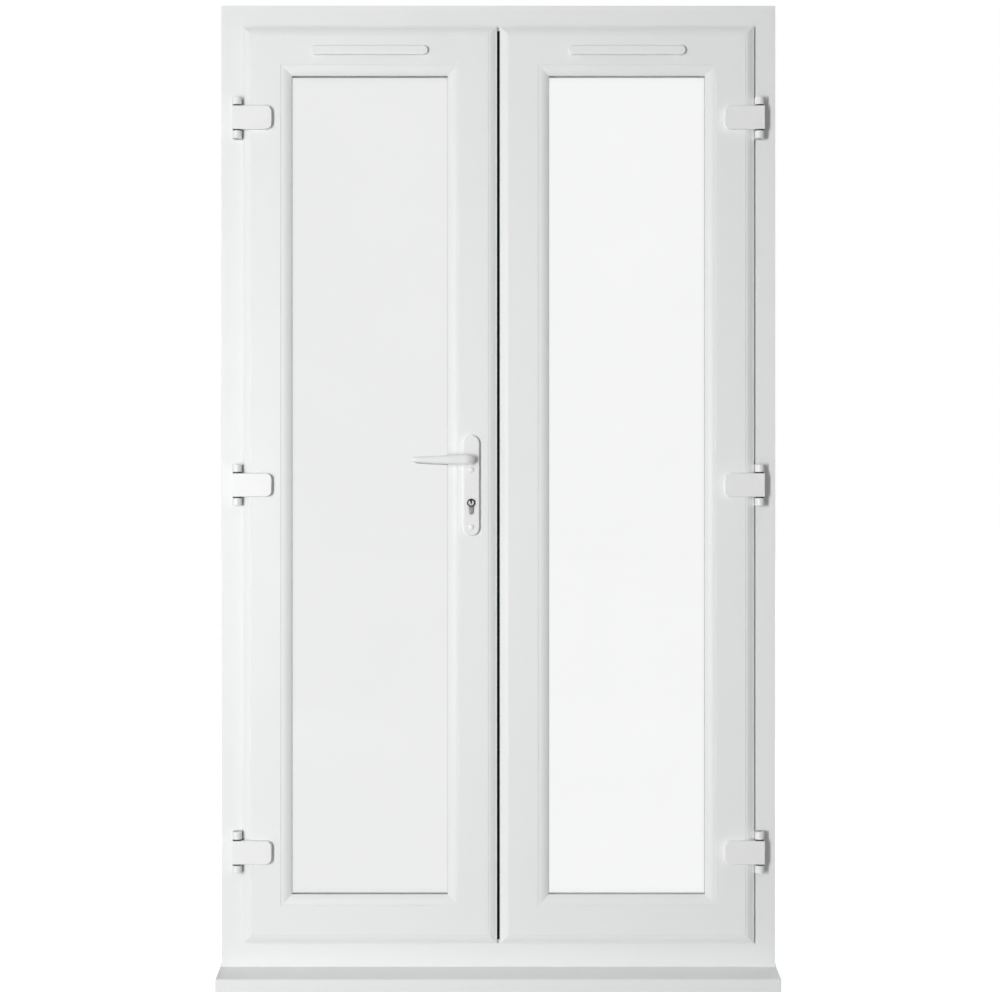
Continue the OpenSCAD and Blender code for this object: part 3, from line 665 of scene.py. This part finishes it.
def buildGlazing():
    look = glazingLook
    bead = beadSection()
    strips = [roundCorners(look[name], 5) for name in ("outerStrip", "innerStrip")]
    for leaf, place in leafPlaces.items():
        bm = bmesh.new()
        for side in sideAxes:
            mitredLength(bm, bead, leafSize, side, place, look["slack"], look["mitreGroove"],
                         look["mitreWidth"])
        finishPiece(leaf + "GlazingBeads", bm, "whiteUpvc", leaf + "_leaf", leaf + "_glazing_beads")
        bm = bmesh.new()
        for strip in strips:
            for side in sideAxes:
                mitredLength(bm, strip, leafSize, side, place)
        finishPiece(leaf + "GlazingGaskets", bm, "glazingRubber", leaf + "_leaf",
                    leaf + "_glazing_gaskets")


sillLook = {
    "out": 80, "back": 70, "step": 4.5, "slopeEnd": 27, "noseDrop": 2.6, "noseRadius": 2.6,
    "dripFrom": 74, "dripTo": 70, "dripDepth": 2.2, "capThickness": 2, "capEase": 0.5,
}


# The sill's top corner at the back, its step, its slope and its rounded nose.
def sillTop(backRadius, topRadius, stepRadius):
    look = sillLook
    height = overall["sillHeight"]
    return [
        (look["back"], height, backRadius), (0, height, topRadius),
        (0, height - look["step"], stepRadius),
        (look["noseDrop"] - look["out"], look["slopeEnd"], look["noseRadius"]),
        (-look["out"], look["slopeEnd"] - look["noseDrop"], look["noseRadius"] * 0.6),
    ]


def buildSill():
    look = sillLook
    half = overall["width"] / 2
    out, drip = look["out"], look["dripDepth"]
    section = roundCorners([
        (-out, 0, 1.2), (-look["dripFrom"], 0, 0.5), (-look["dripFrom"], drip, 0.4),
        (-look["dripTo"], drip, 0.4), (-look["dripTo"], 0, 0.5), (look["back"], 0, 0.6),
    ] + sillTop(0.6, 0.5, 0.8), 5)
    bm = bmesh.new()
    alongX(bm, section, -half, half)
    finishPiece("sillMoulding", bm, "whiteUpvc", "frame", "sill")
    cap = roundCorners([(-out, 0, 1.6), (look["back"], 0, 0.8)] + sillTop(0.8, 0.8, 1.0), 5)
    bm = bmesh.new()
    for x in (-half - look["capThickness"], half):
        alongX(bm, cap, x, x + look["capThickness"], look["capEase"])
    finishPiece("sillEndCaps", bm, "whiteUpvc", "frame", "sill_end_caps")


hingeLook = {
    "knuckle": 10.5, "axisX": 558.6, "axisY": -20, "heights": (285, 1070, 1855), "plateHeight": 50,
    "plateLength": 85, "plateBack": -16, "plateFront": -30.5, "farCorner": 12.5, "nearCorner": 1.2,
    "rim": 1.5, "endKnuckle": 16, "washer": 3, "washerRadius": 9.4, "washerEase": 0.5, "pin": 4,
    "pinEase": 0.8, "pinStands": 0.1, "foot": 4, "footInset": 1.2, "ease": 0.7,
}


def buildHinges():
    look = hingeLook
    half = look["plateHeight"] / 2
    barrel = half + look["washer"] + look["endKnuckle"]
    washers = bmesh.new()
    pins = bmesh.new()
    for sideName, direction, body in (("left", -1, "master_leaf"), ("right", 1, "slave_leaf")):
        axisX = direction * look["axisX"]
        plates = bmesh.new()
        feet = bmesh.new()
        for z in look["heights"]:
            centre = (axisX, look["axisY"], z)
            easedRod(plates, look["knuckle"], -half, half, centre, "Z", look["ease"])
            outer = axisX + direction * look["knuckle"]
            far = outer - direction * look["plateLength"]
            radii = {"near": look["nearCorner"], "far": look["farCorner"]}
            order = ("near", "far", "far", "near") if direction < 0 else ("far", "near", "near", "far")
            outlineAt = cornerRect(min(outer, far), z - half, max(outer, far), z + half,
                                   [radii[key] for key in order], 10)
            roundedSlab(plates, outlineAt, look["plateBack"], look["plateFront"], look["rim"], 6)
            inner = axisX - direction * (look["knuckle"] - look["footInset"])
            low, high = sorted((inner, outer))
            easedBox(feet, (low, -look["foot"], z - barrel), (high, 0, z + barrel), look["ease"])
            for at in (z - barrel, z + barrel - look["endKnuckle"]):
                easedRod(feet, look["knuckle"], 0, look["endKnuckle"],
                         (axisX, look["axisY"], at), "Z", look["ease"])
                easedBox(feet, (low, look["axisY"] + 2, at), (high, -1, at + look["endKnuckle"]),
                         look["ease"])
            for at in (z - half - look["washer"], z + half):
                easedRod(washers, look["washerRadius"], 0, look["washer"],
                         (axisX, look["axisY"], at), "Z", look["washerEase"])
            end = barrel + look["pinStands"]
            easedRod(pins, look["pin"], -end, end, centre, "Z", look["pinEase"], 40)
        finishPiece(sideName + "HingePlates", plates, "hingeWhite", body,
                    sideName + "_hinge_sash_leaves")
        finishPiece(sideName + "HingeFeet", feet, "hingeWhite", "frame",
                    sideName + "_hinge_frame_leaves")
    finishPiece("hingePins", pins, "zincSteel", "frame", "hinge_pins")
    finishPiece("hingeWashers", washers, "greyNylon", "frame", "hinge_washers")


ventLook = {
    "length": 250, "height": 20, "out": 10, "rim": 2.6, "wall": 2.2, "mouthHalf": 100, "mouthY": -20.5,
    "baseThickness": 6, "baseLow": 12, "baseHigh": 13, "ear": 3.5, "flapY": 57.8, "flapZ": 1991.5,
    "flapLength": 240, "flapHeight": 21, "flapHalf": 1.5, "tabHalf": 8, "tabOut": 5.5, "tabHeight": 4,
    "ribs": 9, "ribPitch": 1, "ribHalf": 0.25, "ribDepth": 0.9, "ribHeight": 3.7,
}


# The outside hood: hollow, and open along its lower edge.
def ventHood(leaf, x, z):
    look = ventLook
    length, height, wall = look["length"], look["height"], look["wall"]
    front = leafFront - look["out"]
    bm = bmesh.new()
    roundedSlab(bm, stadiumOutline(x, z, length, height), leafFront, front, look["rim"], 6)
    cutter = bmesh.new()
    cavity = stadiumOutline(x, z, length - 2 * wall, height - 2 * wall)
    roundedSlab(cutter, cavity, leafFront + 2, front + wall, 1.2, 3)
    easedBox(cutter, (x - look["mouthHalf"], look["mouthY"], z - height),
             (x + look["mouthHalf"], leafFront + 2, z - 2), 1.0)
    finishPiece(leaf + "VentHood", bm, "whiteUpvc", leaf + "_leaf", leaf + "_vent_cover", cutter=cutter)


def ventBase(leaf, x, z):
    look = ventLook
    half = look["length"] / 2
    low = z - look["baseLow"]
    bm = bmesh.new()
    easedBox(bm, (x - half, leafBack, low),
             (x + half, leafBack + look["baseThickness"], z + look["baseHigh"]), 1.4, 4)
    for s in (-1, 1):
        ear = x + s * (half - look["ear"] / 2)
        easedBox(bm, (ear - look["ear"] / 2, leafBack + 2, low),
                 (ear + look["ear"] / 2, look["flapY"] + 4, z), 0.8)
    cutter = bmesh.new()
    ventSlots(cutter, x, leafBack - 6, leafBack + 10, 1.8)
    finishPiece(leaf + "VentBase", bm, "whiteUpvc", leaf + "_leaf", leaf + "_vent_base", cutter=cutter)


# The inside flap: a strip on a hinge rod, with a ribbed tab to pull it open.
def ventFlap(leaf, x):
    look = ventLook
    run = look["flapLength"] / 2 - look["ear"]
    rod = look["length"] / 2 - 0.5
    y, foot, half = look["flapY"], look["flapZ"], look["flapHalf"]
    top = foot + look["flapHeight"]
    bm = bmesh.new()
    strip = roundCorners([(y - half, foot, 0.3), (y + half, foot, 0.6), (y + half, top, 1.1),
                          (y - half, top, 0.6)])
    alongX(bm, strip, x - run, x + run, 0.4)
    alongX(bm, arcPoints(y, foot, half, half, 0, 345, 23), x - rod, x + rod, 0.3)
    tab, out = look["tabHalf"], y + look["tabOut"]
    easedBox(bm, (x - tab, y + 1, top - look["tabHeight"]), (x + tab, out, top), 1.0)
    ribHalf = look["ribHalf"]
    for index in range(look["ribs"]):
        rib = x + (index - (look["ribs"] - 1) / 2) * look["ribPitch"]
        easedBox(bm, (rib - ribHalf, out - look["ribDepth"], top - look["ribHeight"]),
                 (rib + ribHalf, out, top), 0.12, 1)
    finishPiece(leaf + "VentFlap", bm, "whiteUpvc", leaf + "_vent_flap", leaf + "_vent_flap")


def buildVents():
    for leaf, (x, _) in leafPlaces.items():
        ventHood(leaf, x, leafLook["ventZ"])
        ventBase(leaf, x, leafLook["ventZ"])
        ventFlap(leaf, x)


handleLook = {
    "x": -58, "plateZ": 1069, "plateLength": 215, "plateWidth": 35, "plateThickness": 10,
    "plateRim": 2.4, "spindleZ": 1124, "cylinderZ": 1032, "cylinderFit": 0.45, "neckFit": 0.25,
    "neckRadius": 9, "neckTaper": 0.04, "reach": 127, "bossHeight": 10.4, "tipHeight": 5.6,
    "thickness": 12, "clear": 32.4, "elbow": 13, "droop": 0.6, "roundness": 2.25, "thinning": 0.14,
    "taperPower": 1.25, "neckSteps": 4, "bendSteps": 12, "barSteps": 32,
    "collar": ((-0.1, 9.2), (1.6, 10.05), (1.7, 11.2), (0.4, 12.2), (-0.4, 12.4)),
    "screwZ": (1102.5, 980.5), "domeRadius": 6, "domeStart": -26.8, "domeHeight": 2.6,
    "shank": ((2.5, -25), (2.5, 59), (2.1, 59.4)),
}
cylinderLook = {
    "headRadius": 8.5, "tailHalf": 5, "tail": 24.5, "stands": 3, "ease": 0.5, "plugRadius": 6.1,
    "plugStands": 0.5, "plugFit": 0.05, "cam": (20, 30), "camGap": 0.2, "camRadius": 16, "camHalf": 4,
    "camReach": 14.9,
    "shadeRingInner": 6.2, "shadeRingOuter": 8.7, "shadeRingStands": 0.35, "shadeRingSinks": 0.6,
    "shadeRingEase": 0.2, "shadeRingSteps": 64,
    "shadeBlockHalf": 2.7, "shadeBlockLow": 4.2, "shadeBlockHigh": 5.2, "shadeBlockFrom": 1.5, "shadeBlockTo": 20, "slotTo": 24,
    "slot": (
        (-2.6, 6.6), (-2.3, 3.6, 0.4), (-0.7, -3, 0.3), (0.7, -3, 0.3), (2.3, 3.6, 0.4), (2.6, 6.6),
    ),
}


def euroOutline(grow):
    look = cylinderLook
    head = look["headRadius"] + grow
    tail = look["tailHalf"] + grow
    meet = math.degrees(math.acos(tail / head))
    cx, cz = handleLook["x"], handleLook["cylinderZ"]
    points = arcPoints(cx, cz, head, head, -meet, 180 + meet, 28)
    points += arcPoints(cx, cz + look["tailHalf"] - look["tail"], tail, tail, 180, 360, 14)
    return points


# Lays rings of points about a bent path; each station is (centre, side, up, halfSide, halfUp, power).
def sweptBar(bm, stations, steps):
    rings = []
    for centre, side, up, halfSide, halfUp, power in stations:
        ring = []
        for index in range(steps):
            angle = 2 * math.pi * index / steps
            c, s = math.cos(angle), math.sin(angle)
            a = halfSide * math.copysign(abs(c) ** (2 / power), c)
            b = halfUp * math.copysign(abs(s) ** (2 / power), s)
            ring.append(Vector(centre) + Vector(side) * a + Vector(up) * b)
        rings.append(ring)
    loftRings(bm, rings)


# The lever: a neck out of the plate, a quarter bend, then a bar that tapers to a rounded tip.
def leverStations(face, direction):
    look = handleLook
    x, z = look["x"], look["spindleZ"]
    elbow, neck, halfThick = look["elbow"], look["neckRadius"], look["thickness"] / 2
    up = (0, 0, 1)
    middle = face + direction * (look["clear"] + halfThick)
    straight = look["clear"] + halfThick - elbow
    stations = []
    for index in range(look["neckSteps"] + 1):
        along = index / look["neckSteps"]
        y = face + direction * (1 + (straight - 1) * along)
        radius = neck * (1 - look["neckTaper"] * along ** 2)
        stations.append(((x, y, z), (1, 0, 0), up, radius, radius, 2.0))
    neckEnd = neck * (1 - look["neckTaper"])
    for index in range(1, look["bendSteps"] + 1):
        blend = index / look["bendSteps"]
        angle = math.pi / 2 * blend
        centre = (x - elbow * (1 - math.cos(angle)),
                  middle - direction * elbow * (1 - math.sin(angle)), z)
        side = (math.cos(angle), direction * math.sin(angle), 0)
        halfSide = neckEnd * (1 - blend) + halfThick * blend
        halfUp = neckEnd * (1 - blend) + look["bossHeight"] * blend
        stations.append((centre, side, up, halfSide, halfUp, 2.0 + (look["roundness"] - 2.0) * blend))
    run = look["reach"] - elbow
    tip = look["tipHeight"]
    for index in range(1, look["barSteps"] + 1):
        along = index / look["barSteps"]
        beyond = max(0.0, (along * run - (run - tip)) / tip)
        closing = max(math.sqrt(max(0.0, 1 - beyond * beyond)), 0.1)
        ease = along ** look["taperPower"]
        halfUp = (look["bossHeight"] * (1 - ease) + tip * ease) * closing
        halfSide = halfThick * (1 - look["thinning"] * along) * (0.35 + 0.65 * closing)
        lift = -look["droop"] * math.sin(math.pi * along)
        centre = (x - elbow - run * along, middle, z + lift)
        stations.append((centre, (0, direction, 0), up, halfSide, halfUp, look["roundness"]))
    return stations


def backplate(sideName, face, direction):
    look = handleLook
    bm = bmesh.new()
    front = face + direction * look["plateThickness"]
    outlineAt = stadiumOutline(look["x"], look["plateZ"], look["plateLength"], look["plateWidth"],
                               True, 24)
    roundedSlab(bm, outlineAt, face, front, look["plateRim"], 7)
    cutter = bmesh.new()
    near, far = sorted((face - direction * 2, front + direction * 2))
    hole = euroOutline(look["cylinderFit"])
    loftRings(cutter, [[(px, y, pz) for px, pz in hole] for y in (near, far)])
    bore = look["neckRadius"] + look["neckFit"]
    turned(cutter, [(bore, near), (bore, far)], (look["x"], 0, look["spindleZ"]), "Y", 64)
    finishPiece(sideName + "Backplate", bm, "handleWhite", "master_leaf", sideName + "_backplate",
                cutter=cutter)


def lever(sideName, face, direction):
    look = handleLook
    bm = bmesh.new()
    sweptBar(bm, leverStations(face, direction), 40)
    collar = [(look["neckRadius"] + grow, direction * at) for grow, at in look["collar"]]
    turned(bm, collar, (look["x"], face, look["spindleZ"]), "Y")
    finishPiece(sideName + "Lever", bm, "handleWhite", "handle", sideName + "_lever")


# Two domed screws that run through both backplates.
def handleScrews():
    look = handleLook
    radius, begin = look["domeRadius"], look["domeStart"]
    dome = [(radius - 0.2, begin + 0.9), (radius, begin + 0.6), (radius, begin)]
    for index in range(1, 10):
        angle = math.pi / 2 * index / 10
        dome.append((radius * math.cos(angle), begin - look["domeHeight"] * math.sin(angle)))
    dome.append((0.3, begin - look["domeHeight"]))
    bm = bmesh.new()
    for z in look["screwZ"]:
        turned(bm, dome, (look["x"], 0, z), "Y", 48)
        turned(bm, look["shank"], (look["x"], 0, z), "Y", 32)
    finishPiece("handleBolts", bm, "handleWhite", "master_leaf", "handle_bolts")


def buildHandle():
    for sideName, face, direction in (("outside", leafFront, -1), ("inside", leafBack, 1)):
        backplate(sideName, face, direction)
        lever(sideName, face, direction)
    handleScrews()


# Both faces of the euro cylinder, as (face, way in) pairs.
def cylinderFaces():
    out = handleLook["plateThickness"] + cylinderLook["stands"]
    return ((leafFront - out, 1), (leafBack + out, -1))


def cylinderBody(x, z):
    look = cylinderLook
    (front, _), (back, _) = cylinderFaces()
    ease = look["ease"]
    ends = ((front, -ease), (front + ease * 0.3, -ease * 0.3), (front + ease, 0),
            (back - ease, 0), (back - ease * 0.3, -ease * 0.3), (back, -ease))
    bm = bmesh.new()
    loftRings(bm, [[(px, y, pz) for px, pz in euroOutline(grow)] for y, grow in ends])
    cutter = bmesh.new()
    bore = look["plugRadius"] + look["plugFit"]
    turned(cutter, [(bore, front - 2), (bore, back + 2)], (x, 0, z), "Y", 64)
    low, high = look["cam"][0] - look["camGap"], look["cam"][1] + look["camGap"]
    turned(cutter, [(look["camRadius"], low), (look["camRadius"], high)], (x, 0, z), "Y", 48)
    finishPiece("cylinderBody", bm, "nickel", "master_leaf", "cylinder_body", cutter=cutter)


# A near-black ring about the plug at each face: painted shade for the gap round the plug.
def plugShadeRings(x, z):
    look = cylinderLook
    inner, outer, ease = look["shadeRingInner"], look["shadeRingOuter"], look["shadeRingEase"]
    bm = bmesh.new()
    for face, inwards in cylinderFaces():
        near, far = sorted((face - inwards * look["shadeRingStands"],
                            face + inwards * look["shadeRingSinks"]))
        loop = [(inner, near + ease), (inner + ease, near), (outer - ease, near), (outer, near + ease),
                (outer, far - ease), (outer - ease, far), (inner + ease, far), (inner, far - ease)]
        rings = []
        for index in range(look["shadeRingSteps"] + 1):
            angle = 2 * math.pi * index / look["shadeRingSteps"]
            rings.append([(x + radius * math.cos(angle), y, z + radius * math.sin(angle))
                          for radius, y in loop])
        loftRings(bm, rings, caps=False)
    bmesh.ops.remove_doubles(bm, verts=bm.verts, dist=0.001 * mm)
    finishPiece("plugShadeRings", bm, "paintedShadeBlack", "master_leaf")


# Near-black blocks just inside each keyway: painted shade for the depth of the slot.
def keywayShadeBlocks(x, z):
    look = cylinderLook
    bm = bmesh.new()
    for face, inwards in cylinderFaces():
        near, far = sorted((face + inwards * look["shadeBlockFrom"], face + inwards * look["shadeBlockTo"]))
        easedBox(bm, (x - look["shadeBlockHalf"], near, z - look["shadeBlockLow"]),
                 (x + look["shadeBlockHalf"], far, z + look["shadeBlockHigh"]), 0.2, 1)
    finishPiece("keywayShadeBlocks", bm, "paintedShadeBlack", "key_plug")


# The plug turns with the key: a rod with a keyway at each end and the cam in its middle.
def cylinderPlug(x, z):
    look = cylinderLook
    (front, _), (back, _) = cylinderFaces()
    low, high = look["cam"]
    bm = bmesh.new()
    stands = look["plugStands"]
    easedRod(bm, look["plugRadius"], front - stands, back + stands, (x, 0, z), "Y", look["ease"])
    easedRod(bm, look["headRadius"], low, high, (x, 0, z), "Y", 0.4)
    easedBox(bm, (x - look["camHalf"], low + look["camGap"], z - look["camReach"]),
             (x + look["camHalf"], high - look["camGap"], z), 0.8)
    slot = roundCorners([(x + corner[0], z + corner[1]) + corner[2:] for corner in look["slot"]], 3)
    cutter = bmesh.new()
    for face, inwards in cylinderFaces():
        ends = sorted((face - inwards * 2, face + inwards * look["slotTo"]))
        loftRings(cutter, [[(px, y, pz) for px, pz in slot] for y in ends])
    finishPiece("cylinderPlug", bm, "plugNickelHighlight", "key_plug", "cylinder_plug", cutter=cutter)


def buildCylinder():
    x, z = handleLook["x"], handleLook["cylinderZ"]
    cylinderBody(x, z)
    plugShadeRings(x, z)
    keywayShadeBlocks(x, z)
    cylinderPlug(x, z)


gasketLook = {
    "coreHalf": 10, "coreBack": 3, "coreFront": 1, "lipFront": -2.6, "lipHalf": 2, "lipAt": 7,
    "low": 110, "high": 2030, "strip": ((-27, 50.3, 117), (-23.5, 52, 2023)),
}


# A core with two round lips, which fill the gap between the leaves, and the mullion's inner strip.
def buildMullionGasket():
    look = gasketLook
    half, back, front = look["coreHalf"], look["coreBack"], look["coreFront"]
    lip = look["lipHalf"]
    section = [(-half, back, 0.2), (-half, front, 0.4)]
    for s in (-1, 1):
        centre = s * look["lipAt"]
        section.append((centre - lip, front, 0.3))
        section += arcPoints(centre, look["lipFront"] + lip, lip, lip, 190, 350, 12)
        section.append((centre + lip, front, 0.3))
    section += [(half, front, 0.4), (half, back, 0.2)]
    outline = roundCorners(section, 2)
    bm = bmesh.new()
    loftRings(bm, [[(px, py, z) for px, py in outline] for z in (look["low"], look["high"])])
    easedBox(bm, *look["strip"], 0.5, 2)
    finishPiece("mullionGasket", bm, "blackRubber", "slave_leaf", "mullion_gasket")


buildFrame()
buildSill()
print("frame and sill built")
buildLeaves()
buildGlazing()
print("leaves and glazing built")
buildHinges()
buildVents()
print("hinges and vents built")
buildHandle()
buildCylinder()
buildMullionGasket()
print("handle, cylinder and gasket built")


# The other parts keep their own shape and take a finish.
keptFinishes = {
    "masterGlass": ("master_glass_panes",),
    "slaveGlass": ("slave_glass_panes",),
    "spacerAluminium": ("master_spacer", "slave_spacer"),
    "zincSteel": (
        "frame_reinforcement", "shootbolt_keeps", "master_reinforcement", "slave_reinforcement",
        "latch_keep", "slave_bolt_top", "slave_bolt_bottom", "lever_spindle", "lock_case",
        "lock_faceplate", "latch", "shootbolt_top", "shootbolt_bottom",
    ),
    "blackRubber": ("frame_weatherseal", "master_weatherseal", "slave_weatherseal", "mullion_end_caps"),
    "whiteUpvc": ("floating_mullion",),
}
for finishName, names in keptFinishes.items():
    for name in names:
        mesh = nodes[name].data
        mesh.materials.clear()
        mesh.materials.append(materials[finishName])
print("kept parts finished")


studio = {
    "floorSize": 60, "floorZ": -0.0005, "floorColour": (0.52, 0.52, 0.52, 1), "floorPatch": 0.985,
    "floorRoughness": 0.85, "floorSpecular": 0.1, "floorGlow": 0.9, "skyLow": 0.02, "skyHigh": 0.57,
    "cameraPlace": (0.0035, -4.27, 1.038), "lens": 71.54, "sensor": 36, "clipEnd": 100,
}
lamps = {
    "key": {"place": (-2.3, -5.4, 1.05), "aim": (0, 0, 0.95), "size": (0.7, 2.1), "power": 209},
    "side": {"place": (-5.2, -1.2, 1.0), "aim": (0, 0, 1.0), "size": (1.4, 2.0), "power": 24},
    "back": {"place": (1.3, 4.2, 1.5), "aim": (0, 0, 1.0), "size": (2.0, 2.2), "power": 100},
}


# A pale floor that looks white to the camera and still lights the part softly.
def buildFloor():
    bm = bmesh.new()
    bmesh.ops.create_grid(bm, x_segments=1, y_segments=1, size=studio["floorSize"] / 2)
    floor = newObject("floor", newMesh("floor", bm))
    floor.location.z = studio["floorZ"]
    material, tree, shader = newMaterial("floorPaint")
    cloud = noiseNode(tree, objectPlace(tree), 1.5, 3.0, 0.5)
    pale = studio["floorColour"]
    feed(tree, shader, {
        "Base Color": mixColour(tree, cloud, pale, dimmed(pale, studio["floorPatch"])),
        "Roughness": studio["floorRoughness"], "Specular IOR Level": studio["floorSpecular"],
        "Emission Color": (1, 1, 1, 1),
        "Emission Strength": mathNode(tree, "MULTIPLY", seenRays(tree), studio["floorGlow"]),
    })
    floor.data.materials.append(material)
    floor.visible_transmission = False


# White where the camera looks; a gradient that grows upwards where it lights the part.
def buildWorld():
    world = bpy.data.worlds.new("studioWorld")
    bpy.context.scene.world = world
    world.use_nodes = True
    tree = world.node_tree
    direction = addNode(tree, "ShaderNodeTexCoord").outputs["Generated"]
    parts = addNode(tree, "ShaderNodeSeparateXYZ", {0: direction})
    height = mathNode(tree, "MAXIMUM", parts.outputs["Z"], 0.0)
    light = mapRange(tree, height, studio["skyLow"], studio["skyHigh"])
    strength = mapRange(tree, seenRays(tree), light, 1.0)
    feed(tree, tree.nodes["Background"], {"Color": (1, 1, 1, 1), "Strength": strength})


def buildLamps():
    for name, look in lamps.items():
        data = bpy.data.lights.new(name, "AREA")
        data.shape = "RECTANGLE"
        data.size, data.size_y = look["size"]
        data.energy = look["power"]
        lamp = newObject(name, data)
        lamp.location = look["place"]
        towards = Vector(look["aim"]) - Vector(look["place"])
        lamp.rotation_euler = towards.to_track_quat("-Z", "Y").to_euler()
        lamp.visible_camera = False
        lamp.visible_transmission = False
        lamp.visible_glossy = name == "key"


def buildCamera():
    data = bpy.data.cameras.new("camera")
    data.sensor_width = studio["sensor"]
    data.lens = studio["lens"]
    data.clip_end = studio["clipEnd"]
    camera = newObject("camera", data)
    camera.location = studio["cameraPlace"]
    camera.rotation_euler = (math.radians(90), 0, 0)
    bpy.context.scene.camera = camera
    bpy.context.scene.view_settings.view_transform = "Standard"


buildFloor()
buildWorld()
buildLamps()
buildCamera()
print("studio ready")
